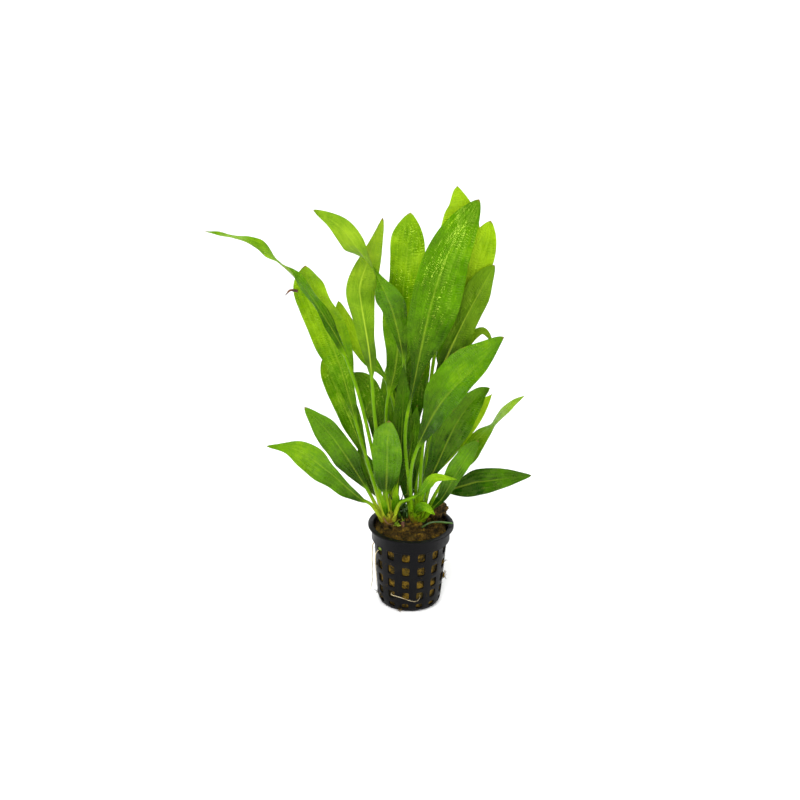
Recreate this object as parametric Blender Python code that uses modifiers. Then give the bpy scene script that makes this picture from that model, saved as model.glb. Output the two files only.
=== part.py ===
"""Potted amazon sword plant: a black net pot, a stone-wool plug and one plant of many leaves.

Metres, +Z up.  The origin is the middle of the pot's flat underside.  -Y is the front, +X is
to the right.  Lengths in the tables are millimetres and become metres through MM.
"""
import math

import bmesh
import bpy
import numpy as np
from mathutils import Matrix, Vector

MM = 0.001
GAP = 0.35                     # clearance kept between neighbouring pieces

# ---- the pot ---------------------------------------------------------------------------
POT_COLUMNS = 14               # holes round the pot
POT_STEPS = 2 * POT_COLUMNS    # a hole and a rib each take one step
POT_WALL = 0.9
POT_HOLE_TURN = -7.2           # degrees from the front to the middle of the nearest column
POT_FLOOR_DISC = 9.0           # radius of the plain disc in the floor
# (radius, height) of the outside, from the floor disc up to the lip
POT_PROFILE = (
    (POT_FLOOR_DISC, 0.0), (16.5, 0.0), (18.2, 0.0), (19.4, 1.0), (20.1, 2.8), (20.6, 6.1),
    (20.9, 9.3), (21.3, 14.7), (21.5, 17.4), (21.9, 23.4), (22.2, 27.0), (22.6, 33.2),
    (22.9, 37.2), (23.3, 43.2), (25.1, 44.4), (25.1, 52.8), (27.5, 52.9),
)
POT_HOLE_BANDS = (0, 4, 6, 8, 10, 12)   # bands of the profile that are pierced

# ---- the wool --------------------------------------------------------------------------
WOOL_TOP = 50.6
WOOL_STEPS = 24
# (radius, height), from the middle of the top down the outside to the middle of the bottom
WOOL_PROFILE = (
    (0.0, WOOL_TOP), (12.0, WOOL_TOP), (19.0, 50.2), (22.6, 48.6), (23.6, 46.0),
    (21.9, 43.0), (19.6, 8.0), (18.4, 2.4), (16.0, 1.3), (0.0, 1.3),
)
CLUMP_PLACE = (14.6, 12.2, 54.6)
CLUMP_SIZE = (5.2, 3.8, 3.5)   # half lengths
CLUMP_TURN = 35

# ---- the crowns ------------------------------------------------------------------------
CROWN_TOP = 53.6
CROWN_RADIUS = 7.5
CROWN_WAIST = 0.8              # how much narrower the crown is at its foot
CROWNS = {"left": (-14.0, 5.0), "right": (3.6, 6.4)}
STUMP_PLACE = (-5.2, -2.4, 53.6)
STUMP_SIZE = (1.7, 1.7, 2.5)   # half lengths
STALK_FOOT = CROWN_TOP + 2 * GAP   # where every stalk starts
STALK_RADIUS = 1.15
STALK_NECK = 1.0               # radius where the blade begins

# ---- the leaves ------------------------------------------------------------------------
FRONT = Vector((0.0, -0.914, 0.407))    # the way a leaf with no turn looks
BLADE_THICK = 0.45                      # half the thickness at the midrib
TIP_THICK = 0.5                         # the tip's thickness as a part of that
TIP_HALF = 0.4                          # half the tip's width as a part of the neck's
ROUND_TIP = 1.5                         # how rounded the ends of an uneven blade are
NECK_SHARE = 1 / 6                      # the part of the blade that grows out of a round neck
STATION_STEP = 17.0                     # distance between a leaf's sections
TWIST_STEP = 7.0                        # the same for a leaf that turns as it goes
# a section's corners: how far out along the half width, and which face
SECTION = ((-1.0, 0), (-0.38, 1), (0.38, 1), (1.0, 0), (0.38, -1), (-0.38, -1))
ROUND = 0.87                            # makes the six corners of a stalk a regular hexagon

# name: seat on a crown (crown, ring radius, degrees anticlockwise from +X), the points that
# the midrib passes through, the share of its length that is stalk, the blade's width, its
# outline (where it is widest, how full it is below that and above it), the turns of the
# blade from its base to its tip in degrees (positive swings the right half back, 180 shows
# the underside to the front), and how far the two halves are folded up
LEAVES = {
    "leaf_low_left": (
        ("left", 6.2, 205), ((-25, -2, 67), (-34, -8, 76), (-53, -21, 100), (-71, -33, 119),
                             (-89, -41, 125)), 0.2, 20, (0.45, 1.8, 1.3), (0, 0), 0.15),
    "leaf_lower_left": (
        ("left", 6.2, 178), ((-25, 2, 70), (-32, -1, 84), (-49, -12, 117), (-67, -22, 143)),
        0.26, 20.5, (0.5, 1.6, 2.0), (0, 0), 0.12),
    "leaf_long_arching": (
        ("left", 6.2, 232), ((-23, 1, 90), (-27, 1, 111), (-35, 1, 144), (-45.5, 1, 173.5),
                             (-58.5, 1, 197), (-73.5, -2, 219.5), (-89, -8, 235.5),
                             (-104.5, -17, 248), (-125, -26, 255.5)),
        0.48, 19, (0.35, 1.8, 1.2), (35, 40, 45, 55, 70, 60, 45, 55, 50), 0.15),
    "leaf_broad_left": (
        ("left", 3.1, 180), ((-30, 12, 96), (-39, 18, 125), (-46, 23, 148), (-53, 25, 167),
                             (-66, 22, 203), (-69, 18, 220.5)),
        0.38, 23, (0.6, 1.8, 4.0), (0, 0), 0.08),
    "leaf_mid_left": (
        ("left", 6.2, 150), ((-26, 13, 81), (-37, 22, 107), (-48, 29, 130), (-59, 33, 152)),
        0.36, 17, (0.6, 1.6, 4.0), (0, 0), 0.12),
    "leaf_dark_left": (
        ("left", 6.2, 120), ((-22, 16, 65), (-27, 21, 75), (-35, 25, 95)),
        0.3, 13, (0.5, 1.8, 2.0), (0, 0), 0.1),
    "leaf_inner_left": (
        ("left", 3.1, 120), ((-19, 20, 78), (-22, 27, 99), (-24, 33, 114), (-30, 40, 132),
                             (-41, 45, 139)), 0.4, 14, (0.6, 1.6, 3.0), (0, 0), 0.1),
    "leaf_rear_leaning": (
        ("right", 6.2, 140), ((-9, 34, 104), (-18, 48, 133), (-32, 56, 147), (-46, 61, 170),
                              (-50, 61, 182)), 0.6, 13, (0.5, 1.6, 2.5), (0, 0), 0.1),
    "leaf_pale_ribbed": (
        ("left", 3.1, 240), ((-20, -2, 99), (-24, -5, 127.5), (-28, -8, 172.5),
                             (-33.5, -5, 204), (-34.5, -3, 215.5), (-30.5, -2, 230),
                             (-21.5, -8, 260.5)), 0.5, 16.5, (0.48, 1.5, 1.15), (180, 180), 0.2),
    "leaf_twisted": (
        ("left", 3.1, 300), ((-9, 7, 109), (-7, 7, 137), (-7, 6, 162), (-13.5, 3, 193),
                             (-19, -5, 211.5), (-24, -11, 224), (-27.5, -14, 232),
                             (-35.5, -16, 243.5), (-47, -15, 257), (-62.5, -13, 266)),
        0.46, 17, (0.42, 1.6, 2.2), (0, 0, 0, 5, 20, 85, 160, 170, 170), 0.15),
    "leaf_tall_centre": (
        ("left", 3.1, 0), ((-16, 10, 107), (-17, 12, 131), (-12, 14, 157), (-9, 17, 199),
                           (-6, 20, 237), (-5, 21, 255)),
        0.42, 26, (0.62, 1.8, 4.0), (0, 0), 0.1),
    "leaf_largest": (
        ("right", 3.1, 240), ((-5, 0, 112), (0, -2, 154), (9.5, -1, 207), (19, 3, 237),
                              (36, 9, 268)), 0.36, 31, (0.58, 1.6, 2.4), (0, 0), 0.12),
    "leaf_top": (
        ("right", 0.0, 0), ((3, 11, 83), (9, 17, 132), (13, 21, 167), (22, 27, 213),
                            (28, 31, 251), (23, 29, 270)),
        0.55, 27, (0.55, 1.8, 2.0), (0, 0), 0.12),
    "leaf_tall_right": (
        ("right", 3.1, 0), ((11, 16, 105), (21, 19, 158), (30, 20, 197), (36, 21, 222),
                            (44, 21, 251)), 0.55, 22, (0.6, 1.8, 3.5), (0, 0), 0.12),
    "leaf_upper_right": (
        ("right", 3.1, 300), ((7, 9, 115), (14, 11, 149), (28, 12, 185), (42, 12, 215),
                              (47, 11, 226)), 0.52, 20, (0.6, 1.6, 2.0), (180, 180), 0.12),
    "leaf_curled_right": (
        ("right", 3.1, 60), ((11, 28, 107), (21, 40, 134), (30, 48, 153), (36, 52, 162),
                             (43, 55, 166), (48, 57, 161), (50, 58, 154)),
        0.66, 6, (0.5, 1.8, 1.8), (0, 0), 0.1),
    "leaf_broad_right": (
        ("right", 6.2, 226), ((-1, -3, 89), (4, -7, 114), (17, -16, 146), (40, -28, 179),
                              (52, -35, 197)), 0.36, 26, (0.56, 1.7, 2.4), (-22, -22), 0.25),
    "leaf_mid_right": (
        ("right", 6.2, 275), ((8, -2, 79), (14, -4, 94), (27, -10, 130), (39, -14, 150),
                              (46, -16, 156)), 0.26, 21, (0.5, 1.7, 2.0), (0, 0), 0.25),
    "leaf_mid_right_rear": (
        ("right", 6.2, 350), ((12, 9, 80), (22, 11, 101), (32, 12, 118), (49, 12, 140)),
        0.3, 15, (0.55, 1.7, 2.2), (0, 0), 0.1),
    "leaf_narrow_right": (
        ("right", 6.2, 15), ((18, 13, 74), (34, 20, 93), (40, 22, 102), (51, 26, 113),
                             (62, 31, 126), (71, 34, 130)),
        0.34, 14, (0.4, 1.8, 1.4), (0, 0, 0, 60, 60, 40), 0.1),
    "leaf_small_right": (
        ("right", 6.2, 300), ((14, -5, 68), (20, -9, 78), (29, -17, 101), (40, -24, 124)),
        0.2, 13, (0.5, 1.8, 1.8), (0, 0), 0.12),
    "leaf_low_right": (
        ("right", 6.2, 325), ((18, -2, 75), (37, -12, 89), (48, -18, 94), (73, -32, 105)),
        0.34, 18, (0.45, 2.0, 1.8), (0, 0), 0.1),
    "leaf_crossing": (
        ("left", 6.2, 310), ((-8, -4, 69), (-1, -9, 76), (5, -12, 81), (10, -14, 89),
                             (15, -15, 94), (28, -17, 94)),
        0.5, 6.5, (0.45, 1.6, 1.5), (0, 0), 0.15),
    "leaf_front": (
        ("left", 6.2, 284), ((-16, -3, 75), (-16, -9, 95), (-16, -16, 116),
                             (-15, -24, 136)), 0.28, 18.6, (0.55, 2.0, 4.5), (0, 0), 0.1),
    "leaf_inner_right": (
        ("right", 3.1, 180), ((-3, 14, 85), (-3, 18, 111), (-2, 21, 138), (1, 22, 164)),
        0.35, 16, (0.55, 1.8, 2.5), (0, 0), 0.1),
    "leaf_short_centre": (
        ("right", 6.2, 190), ((-3, 8, 80), (-1, 8, 105), (2, 8, 133)),
        0.12, 14, (0.5, 1.8, 2.0), (0, 0), 0.1),
    "leaf_inner_centre": (
        ("left", 6.2, 2), ((-8, 3, 95), (-7, 4, 127), (-7, 4, 147), (-7, 3, 163)),
        0.2, 12, (0.5, 1.8, 2.0), (0, 0), 0.15),
    "leaf_bent": (
        ("right", 6.2, 252), ((3, -5, 65), (8, -10, 71), (15, -13, 67)),
        0.4, 6, (0.5, 1.8, 2.0), (0, 0), 0.1),
    "leaf_young_left": (
        ("left", 6.2, 258), ((-17, -3, 67), (-20, -4, 76), (-22, -5, 85)),
        0.2, 3.6, (0.4, 1.8, 1.5), (0, 0), 0.3),
    "leaf_young_centre": (
        ("left", 6.2, 336), ((-10, 0, 69), (-10, -1, 76), (-9, -2, 84)),
        0.2, 5, (0.4, 1.8, 1.5), (0, 0), 0.3),
    "leaf_rear_tall": (
        ("left", 3.1, 60), ((-8, 24, 100), (-7, 40, 145), (-6, 54, 185), (-5, 64, 212)),
        0.42, 24, (0.55, 1.8, 2.5), (0, 0), 0.12),
    "leaf_rear_left": (
        ("left", 6.2, 90), ((-12, 30, 88), (-12, 54, 116), (-10, 76, 134), (-8, 92, 140)),
        0.36, 20, (0.5, 1.8, 2.0), (0, 0), 0.15),
    "leaf_rear_low_left": (
        ("left", 6.2, 60), ((-9, 28, 70), (-9, 52, 82), (-8, 72, 80), (-7, 90, 70)),
        0.3, 20, (0.5, 1.8, 2.0), (0, 0), 0.15),
    "leaf_rear_centre": (
        ("right", 6.2, 98), ((2, 34, 98), (-1, 58, 132), (-2, 80, 156), (-3, 96, 166)),
        0.4, 24, (0.55, 1.8, 2.2), (0, 0), 0.12),
    "leaf_rear_right": (
        ("right", 6.2, 70), ((15, 32, 110), (21, 50, 150), (26, 66, 180), (30, 78, 198)),
        0.55, 22, (0.5, 1.8, 2.2), (0, 0), 0.12),
    "leaf_rear_low_right": (
        ("right", 6.2, 42), ((14, 34, 74), (20, 56, 86), (25, 76, 86), (28, 92, 78)),
        0.36, 16, (0.5, 1.8, 1.8), (0, 0), 0.15),
}

# the blades that aren't even: half widths at even steps from the base to the tip, first on
# the left of the face and then on its right
SIDES = {
    "leaf_low_left": ((3.6, 6.6, 7.5, 9.3, 9.0, 7.8, 3.2), (2.1, 2.6, 3.9, 5.4, 8.0, 6.8, 3.0)),
    "leaf_lower_left": ((3.5, 6.4, 8.6, 8.5, 8.8, 7.5, 4.5), (3.1, 5.3, 7.8, 7.3, 7.1, 7.0, 4.1)),
    "leaf_mid_left": ((2.2, 4.3, 6.0, 6.3, 6.5, 6.3, 5.2), (3.0, 5.0, 7.0, 8.0, 8.0, 7.0, 5.0)),
    "leaf_front": ((5.6, 8.0, 8.6, 9.0, 9.2, 9.0, 8.0), (5.0, 7.4, 8.5, 9.3, 8.8, 7.6, 5.4)),
    "leaf_broad_left": ((2.5, 5.4, 8.1, 10.4, 10.6, 10.7, 9.9),
                        (4.0, 5.9, 10.0, 12.6, 12.6, 9.8, 9.0)),
    "leaf_pale_ribbed": ((4.0, 4.5, 6.9, 9.0, 9.2, 7.0, 4.4), (3.5, 5.7, 6.8, 8.4, 7.4, 4.6, 2.2)),
    "leaf_tall_centre": ((5.0, 7.0, 10.4, 11.0, 9.2, 9.9, 10.4),
                         (5.0, 8.0, 10.0, 11.0, 11.0, 11.5, 9.4)),
    "leaf_largest": ((1.8, 4.6, 10.9, 12.4, 13.2, 12.7, 9.7),
                     (2.0, 6.3, 12.8, 17.0, 16.6, 13.7, 9.4)),
    "leaf_top": ((4.0, 8.0, 11.0, 12.5, 13.2, 13.0, 10.4), (4.0, 8.0, 11.0, 12.0, 12.0, 10.0, 4.6)),
    "leaf_tall_right": ((3.0, 6.0, 8.5, 9.5, 9.5, 9.5, 7.5), (3.0, 6.0, 8.5, 9.5, 9.4, 9.8, 7.6)),
    "leaf_upper_right": ((4.0, 8.9, 9.5, 8.6, 8.1, 7.6, 4.4), (3.0, 4.5, 5.2, 5.4, 6.5, 9.2, 7.4)),
    "leaf_broad_right": ((3.0, 6.6, 11.6, 14.6, 15.2, 12.8, 7.6),
                         (4.6, 8.6, 10.2, 10.4, 9.6, 7.7, 4.8)),
    "leaf_mid_right": ((5.0, 6.8, 9.6, 10.7, 10.3, 8.3, 5.4), (2.0, 4.0, 6.6, 8.8, 10.0, 8.7, 6.0)),
    "leaf_narrow_right": ((3.0, 5.0, 5.0, 5.0, 4.3, 4.6, 2.0), (5.0, 7.0, 6.5, 4.2, 4.0, 5.4, 4.6)),
    "leaf_small_right": ((2.5, 4.0, 5.5, 6.6, 7.4, 6.8, 6.0), (1.8, 2.5, 3.4, 3.9, 4.4, 4.4, 3.3)),
    "leaf_low_right": ((3.6, 5.6, 7.8, 8.2, 7.5, 5.8, 3.3), (5.2, 7.8, 8.4, 7.6, 6.2, 4.7, 2.7)),
    "leaf_twisted": ((1.8, 3.2, 5.5, 6.0, 7.4, 6.4, 3.0, 5.0, 6.2, 6.2, 4.0),
                     (3.0, 5.7, 7.9, 9.4, 7.6, 3.8, 3.0, 6.2, 8.0, 6.6, 3.6)),
    "leaf_rear_leaning": ((2.5, 4.2, 4.8, 5.5, 5.4, 5.4, 4.4), (2.0, 4.3, 6.0, 5.1, 4.6, 4.4, 3.4)),
    "leaf_long_arching": ((4.0, 4.6, 4.9, 5.0, 5.0, 3.6, 2.4, 2.6, 2.8, 2.6, 1.8),
                          (2.5, 3.5, 4.5, 5.0, 5.0, 3.2, 2.4, 5.2, 4.6, 2.8, 1.5)),
}

# ---- stalks, roots and the runner ------------------------------------------------------
# name: (radius, points)
STRANDS = {
    "stalk_cut": (0.9, ((10.5, 4.4, 60), (14.5, 3.6, 66), (18.5, 3.6, 73))),
    "runner_stem": (0.9, ((7, -4, 53.4), (12, -4, 56.5), (18, -3, 57), (26.6, -1, 54.9))),
    "root_left_long": (0.45, ((-22.6, -3.4, 41.6), (-24.2, -3.6, 39.5), (-24.4, -3.6, 30),
                              (-24.2, -3.6, 18), (-24.6, -3.2, 9), (-27, -3, 4.6))),
    "root_left_short": (0.4, ((-20.4, -12.4, 40.6), (-22, -12.8, 38), (-22.1, -12.7, 30),
                              (-21.4, -12.4, 22), (-21.2, -11.8, 15))),
    "root_front": (0.5, ((-11.0, -17.6, 12.6), (-11.6, -19.4, 12.4), (-6, -21.8, 11.9),
                         (1.4, -22.4, 9.6), (5.4, -21.8, 9.6), (6.9, -20.6, 12),
                         (6.4, -19.0, 12.6))),
}

# ---- colours ---------------------------------------------------------------------------
POT_BLACK = (0.012, 0.012, 0.014)
WOOL_BROWN = (0.060, 0.038, 0.014)
WOOL_DARK = (0.030, 0.019, 0.010)
CROWN_GREEN = (0.30, 0.36, 0.07)
LEAF_GREEN = (0.12, 0.33, 0.02)
STEM_GREEN = (0.10, 0.22, 0.02)
DEAD_BROWN = (0.10, 0.03, 0.012)
ROOT_CREAM = (0.62, 0.55, 0.36)


def material(name, colour, roughness):
    """A plain Principled material."""
    made = bpy.data.materials.new(name)
    made.use_nodes = True
    shader = made.node_tree.nodes["Principled BSDF"]
    shader.inputs["Base Color"].default_value = (*colour, 1.0)
    shader.inputs["Roughness"].default_value = roughness
    return made


def finished(bm, name, collection, look):
    """Turns a bmesh in millimetres into a named object in metres."""
    bmesh.ops.scale(bm, vec=(MM, MM, MM), verts=bm.verts)
    mesh = bpy.data.meshes.new(name)
    bm.to_mesh(mesh)
    bm.free()
    mesh.materials.append(look)
    piece = bpy.data.objects.new(name, mesh)
    collection.objects.link(piece)
    mesh.shade_smooth()
    mesh.set_sharp_from_angle(angle=math.radians(40))
    return piece


def on_circle(radius, degrees):
    return radius * math.cos(math.radians(degrees)), radius * math.sin(math.radians(degrees))


def ring_at(ring, radius, height):
    """Moves a ring of vertices to a radius and a height."""
    for vert in ring:
        out = Vector((vert.co.x, vert.co.y)).normalized() * radius
        vert.co = (out.x, out.y, height)


def make_pot(collection, look):
    """The mesh pot: an open surface, pierced and given its wall."""
    bm = bmesh.new()
    step = 360.0 / POT_STEPS
    first = -90.0 + POT_HOLE_TURN - step / 2
    bmesh.ops.create_circle(bm, cap_ends=True, cap_tris=True, segments=POT_STEPS,
                            radius=POT_FLOOR_DISC,
                            matrix=Matrix.Rotation(math.radians(first), 4, "Z"))
    edges = [edge for edge in bm.edges if edge.is_boundary]
    bands = []
    for radius, height in POT_PROFILE[1:]:
        grown = bmesh.ops.extrude_edge_only(bm, edges=edges)["geom"]
        edges = [item for item in grown if isinstance(item, bmesh.types.BMEdge)
                 and item.is_boundary]
        ring_at([item for item in grown if isinstance(item, bmesh.types.BMVert)], radius, height)
        bands.append([item for item in grown if isinstance(item, bmesh.types.BMFace)])
    holes = []
    for band in POT_HOLE_BANDS:
        for face in bands[band]:
            middle = face.calc_center_median()
            turn = math.degrees(math.atan2(middle.y, middle.x)) - (first + step / 2)
            if round(turn / step) % 2 == 0:
                holes.append(face)
    bmesh.ops.delete(bm, geom=holes, context="FACES_ONLY")
    floor_face = min(bm.faces, key=lambda face: face.calc_center_median().length)
    bmesh.ops.recalc_face_normals(bm, faces=bm.faces)
    if floor_face.normal.z > 0:
        bmesh.ops.reverse_faces(bm, faces=bm.faces)
    pot = finished(bm, "pot", collection, look)
    wall = pot.modifiers.new("wall", "SOLIDIFY")
    wall.thickness = POT_WALL * MM
    wall.offset = -1.0
    wall.use_even_offset = True
    return pot


def make_wool(collection, look):
    """The stone-wool plug, a turned solid just inside the pot."""
    mesh = bpy.data.meshes.new("wool_plug")
    points = [(radius * MM, 0, height * MM) for radius, height in WOOL_PROFILE]
    mesh.from_pydata(points, [(i, i + 1) for i in range(len(points) - 1)], [])
    mesh.materials.append(look)
    wool = bpy.data.objects.new("wool_plug", mesh)
    collection.objects.link(wool)
    turned = wool.modifiers.new("turned", "SCREW")
    turned.steps = WOOL_STEPS
    turned.render_steps = WOOL_STEPS
    turned.use_merge_vertices = True
    turned.merge_threshold = 0.00005
    turned.use_smooth_shade = True
    return wool


def make_lump(name, place, size, turn, collection, look):
    """A rounded lump, from a coarse ball."""
    bm = bmesh.new()
    shape = (Matrix.Translation(place) @ Matrix.Rotation(math.radians(turn), 4, "Z")
             @ Matrix.Diagonal((*size, 1.0)))
    bmesh.ops.create_uvsphere(bm, u_segments=10, v_segments=6, radius=1.0, matrix=shape)
    return finished(bm, name, collection, look)


def make_crown(name, centre, collection, look):
    """A rootstock: a low drum with a waist, on the wool."""
    bm = bmesh.new()
    foot = WOOL_TOP + GAP
    depth = CROWN_TOP - foot
    place = Matrix.Translation((centre[0], centre[1], foot + depth / 2))
    bmesh.ops.create_cone(bm, cap_ends=True, segments=16, radius1=CROWN_RADIUS - CROWN_WAIST,
                          radius2=CROWN_RADIUS, depth=depth, matrix=place)
    return finished(bm, name, collection, look)


def smooth_line(points, step):
    """Evenly spaced points on a smooth curve through the points."""
    knots = [Vector(point) for point in points]
    knots = [2 * knots[0] - knots[1]] + knots + [2 * knots[-1] - knots[-2]]
    dense = []
    for a, b, c, d in zip(knots, knots[1:], knots[2:], knots[3:]):
        for k in range(12):
            t = k / 12
            dense.append(0.5 * (2 * b + (c - a) * t + (2 * a - 5 * b + 4 * c - d) * t * t
                                + (3 * b - a - 3 * c + d) * t ** 3))
    dense.append(knots[-2])
    walk = np.cumsum([0.0] + [(q - p).length for p, q in zip(dense, dense[1:])])
    count = max(4, round(walk[-1] / step))
    marks = np.linspace(0.0, walk[-1], count + 1)
    lines = [np.interp(marks, walk, [point[axis] for point in dense]) for axis in range(3)]
    return [Vector(point) for point in zip(*lines)]


def blade_width(share, outline):
    """Half width at a share of the blade's length, as a part of the widest."""
    widest, below, above = outline
    if share < widest:
        return 1 - (1 - share / widest) ** below
    return 1 - ((share - widest) / (1 - widest)) ** above


def smooth_row(values, share):
    """A smooth curve through evenly spaced values, read at a share of its length."""
    row = [2 * values[0] - values[1], *values, 2 * values[-1] - values[-2]]
    place = share * (len(values) - 1)
    k = min(int(place), len(values) - 2)
    t = place - k
    a, b, c, d = row[k:k + 4]
    return 0.5 * (2 * b + (c - a) * t + (2 * a - 5 * b + 4 * c - d) * t * t
                  + (3 * b - a - 3 * c + d) * t ** 3)


def half_widths(name, share, width, outline):
    """How far the blade reaches to the left and to the right of its midrib."""
    if name not in SIDES:
        even = width / 2 * blade_width(share, outline)
        return even, even
    sides = []
    for widths in SIDES[name]:
        full = [reach ** ROUND_TIP for reach in (0.0, *widths, 0.0)]
        sides.append(max(smooth_row(full, share), 0.0) ** (1 / ROUND_TIP))
    return sides


def leaf_sections(name, seat, points, stalk, width, outline, turns, fold):
    """The leaf's sections from its foot to its tip, each a list of six corners."""
    crown, ring, around = seat
    x, y = on_circle(ring, around)
    foot = (CROWNS[crown][0] + x, CROWNS[crown][1] + y, STALK_FOOT)
    line = smooth_line((foot, *points), STATION_STEP if len(turns) == 2 else TWIST_STEP)
    last = len(line) - 1
    sections = []
    for k, place in enumerate(line):
        along = (line[min(k + 1, last)] - line[max(k - 1, 0)]).normalized()
        if k == 0:
            along = (along + Vector((0, 0, 1))).normalized()
        share = max(0.0, (k / last - stalk) / (1 - stalk))
        turn = np.interp(share, np.linspace(0, 1, len(turns)), turns)
        looks = (FRONT - FRONT.dot(along) * along).normalized()
        looks = Matrix.Rotation(math.radians(turn), 3, along) @ looks
        across = along.cross(looks)
        neck = STALK_RADIUS + (STALK_NECK - STALK_RADIUS) * min(1.0, k / last / stalk)
        least = neck * (1 - (1 - TIP_HALF) * share)
        left, right = [max(least, side) for side in half_widths(name, share, width, outline)]
        flat = min(1.0, share / NECK_SHARE)
        thick = neck + (BLADE_THICK * (1 - (1 - TIP_THICK) * share) - neck) * flat
        ring_points = []
        for side, face in SECTION:
            out = side * (left if side < 0 else right)
            lift = fold * abs(out) * flat
            if face:
                lift += face * thick * (1.0 if flat == 1.0 else ROUND)
            ring_points.append(place + out * across + lift * looks)
        sections.append(ring_points)
    return sections


def make_leaf(name, plan, collection, look):
    """One leaf, stalk and blade in one: a loft from a round stalk to a thin folded blade."""
    bm = bmesh.new()
    rings = [[bm.verts.new(point) for point in section] for section in leaf_sections(name, *plan)]
    corners = len(SECTION)
    for low, high in zip(rings, rings[1:]):
        for k in range(corners):
            n = (k + 1) % corners
            # The back's triangles lie as the face's do, so that a twisted blade keeps its thickness.
            if k < corners / 2:
                bm.faces.new((low[k], low[n], high[n]))
                bm.faces.new((low[k], high[n], high[k]))
            else:
                bm.faces.new((low[k], low[n], high[k]))
                bm.faces.new((low[n], high[n], high[k]))
    bm.faces.new(rings[0][::-1])
    bm.faces.new(rings[-1])
    bmesh.ops.recalc_face_normals(bm, faces=bm.faces)
    return finished(bm, name, collection, look)


def make_strand(name, radius, points, collection, look):
    """A root or a thin stem: a round curve."""
    curve = bpy.data.curves.new(name, "CURVE")
    curve.dimensions = "3D"
    curve.bevel_depth = radius * MM
    curve.bevel_resolution = 1
    curve.use_fill_caps = True
    spline = curve.splines.new("POLY")
    line = smooth_line(points, 4.0)
    spline.points.add(len(line) - 1)
    for point, place in zip(spline.points, line):
        point.co = (*(place * MM), 1.0)
    curve.materials.append(look)
    strand = bpy.data.objects.new(name, curve)
    collection.objects.link(strand)
    return strand


def main():
    for old in list(bpy.data.objects):
        bpy.data.objects.remove(old, do_unlink=True)
    plant = bpy.data.collections.new("potted_sword_plant")
    bpy.context.scene.collection.children.link(plant)

    make_pot(plant, material("black_plastic", POT_BLACK, 0.45))
    make_wool(plant, material("stone_wool", WOOL_BROWN, 0.95))
    make_lump("wool_clump", CLUMP_PLACE, CLUMP_SIZE, CLUMP_TURN, plant,
              material("dark_wool", WOOL_DARK, 0.95))
    for side, centre in CROWNS.items():
        make_crown("crown_" + side, centre, plant,
                   material("crown_" + side, CROWN_GREEN, 0.5))
    for name, plan in LEAVES.items():
        make_leaf(name, plan, plant, material(name, LEAF_GREEN, 0.35))
    make_lump("old_stump", STUMP_PLACE, STUMP_SIZE, 0, plant,
              material("old_stump", DEAD_BROWN, 0.8))
    for name, (radius, points) in STRANDS.items():
        colour = ROOT_CREAM if name.startswith("root") else STEM_GREEN
        make_strand(name, radius, points, plant, material(name, colour, 0.5))


main()
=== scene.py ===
"""The looks of the potted amazon sword plant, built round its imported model.

Metres, +Z up, in the model's own frame: the origin is the middle of the pot's underside, -Y is
the front and +X the right.  Lengths in the tables are millimetres and become metres through MM.
"""
import math
import zlib

import bpy
import numpy as np
from mathutils import Matrix, Vector, noise

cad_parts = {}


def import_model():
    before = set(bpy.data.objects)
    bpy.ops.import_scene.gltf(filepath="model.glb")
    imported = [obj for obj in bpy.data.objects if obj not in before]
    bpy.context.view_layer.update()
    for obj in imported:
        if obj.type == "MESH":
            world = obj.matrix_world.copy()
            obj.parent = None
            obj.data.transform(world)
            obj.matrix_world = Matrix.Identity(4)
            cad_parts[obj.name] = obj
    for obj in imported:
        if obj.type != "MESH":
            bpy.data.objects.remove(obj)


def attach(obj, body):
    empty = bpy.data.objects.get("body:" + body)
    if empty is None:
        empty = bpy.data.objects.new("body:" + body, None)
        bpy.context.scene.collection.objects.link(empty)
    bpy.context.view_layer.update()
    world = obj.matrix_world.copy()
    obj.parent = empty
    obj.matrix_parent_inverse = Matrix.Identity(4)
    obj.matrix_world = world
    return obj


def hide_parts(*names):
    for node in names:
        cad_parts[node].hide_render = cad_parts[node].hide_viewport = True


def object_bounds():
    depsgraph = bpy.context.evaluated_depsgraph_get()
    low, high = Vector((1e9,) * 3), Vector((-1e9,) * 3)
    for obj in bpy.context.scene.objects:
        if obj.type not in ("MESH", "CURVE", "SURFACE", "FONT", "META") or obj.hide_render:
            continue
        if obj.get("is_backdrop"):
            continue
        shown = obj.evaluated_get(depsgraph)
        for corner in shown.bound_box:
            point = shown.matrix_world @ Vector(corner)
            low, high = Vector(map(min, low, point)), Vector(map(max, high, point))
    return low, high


MM = 0.001

# ---- the pot ---------------------------------------------------------------------------
POT_COLUMNS = 14               # holes round the pot
POT_SPLIT = 8                  # mesh steps to a hole and its rib
HOLE_PITCH = 360 / POT_COLUMNS  # degrees from one column to the next
HOLE_SHARE = 0.5               # the part of the pitch that the hole takes
POT_WALL = 0.9
POT_HOLE_TURN = -7.2           # degrees from the front to the middle of the nearest column
FIRST_HOLE = POT_HOLE_TURN - 90 - HOLE_PITCH * HOLE_SHARE / 2   # that column's left edge
POT_FLOOR_DISC = 9.0           # radius of the plain disc in the floor
# (radius, height) of the outside, from the floor disc up to the lip
POT_PROFILE = (
    (POT_FLOOR_DISC, 0.0), (16.5, 0.0), (18.2, 0.0), (19.4, 1.0), (20.1, 2.8), (20.6, 6.1),
    (20.9, 9.3), (21.3, 14.7), (21.5, 17.4), (21.9, 23.4), (22.2, 27.0), (22.6, 33.2),
    (22.9, 37.2), (23.3, 43.2), (25.1, 44.4), (25.1, 52.8), (27.5, 52.9),
)
POT_HOLE_BANDS = (0, 4, 6, 8, 10, 12)   # bands of the profile that are pierced
HOLE_CORNER = 1.1              # how much of each hole's corner is cut round
POT_EDGE = 0.28                # rounding of the pot's edges

# ---- the wool --------------------------------------------------------------------------
WOOL_TOP = 52.4
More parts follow.
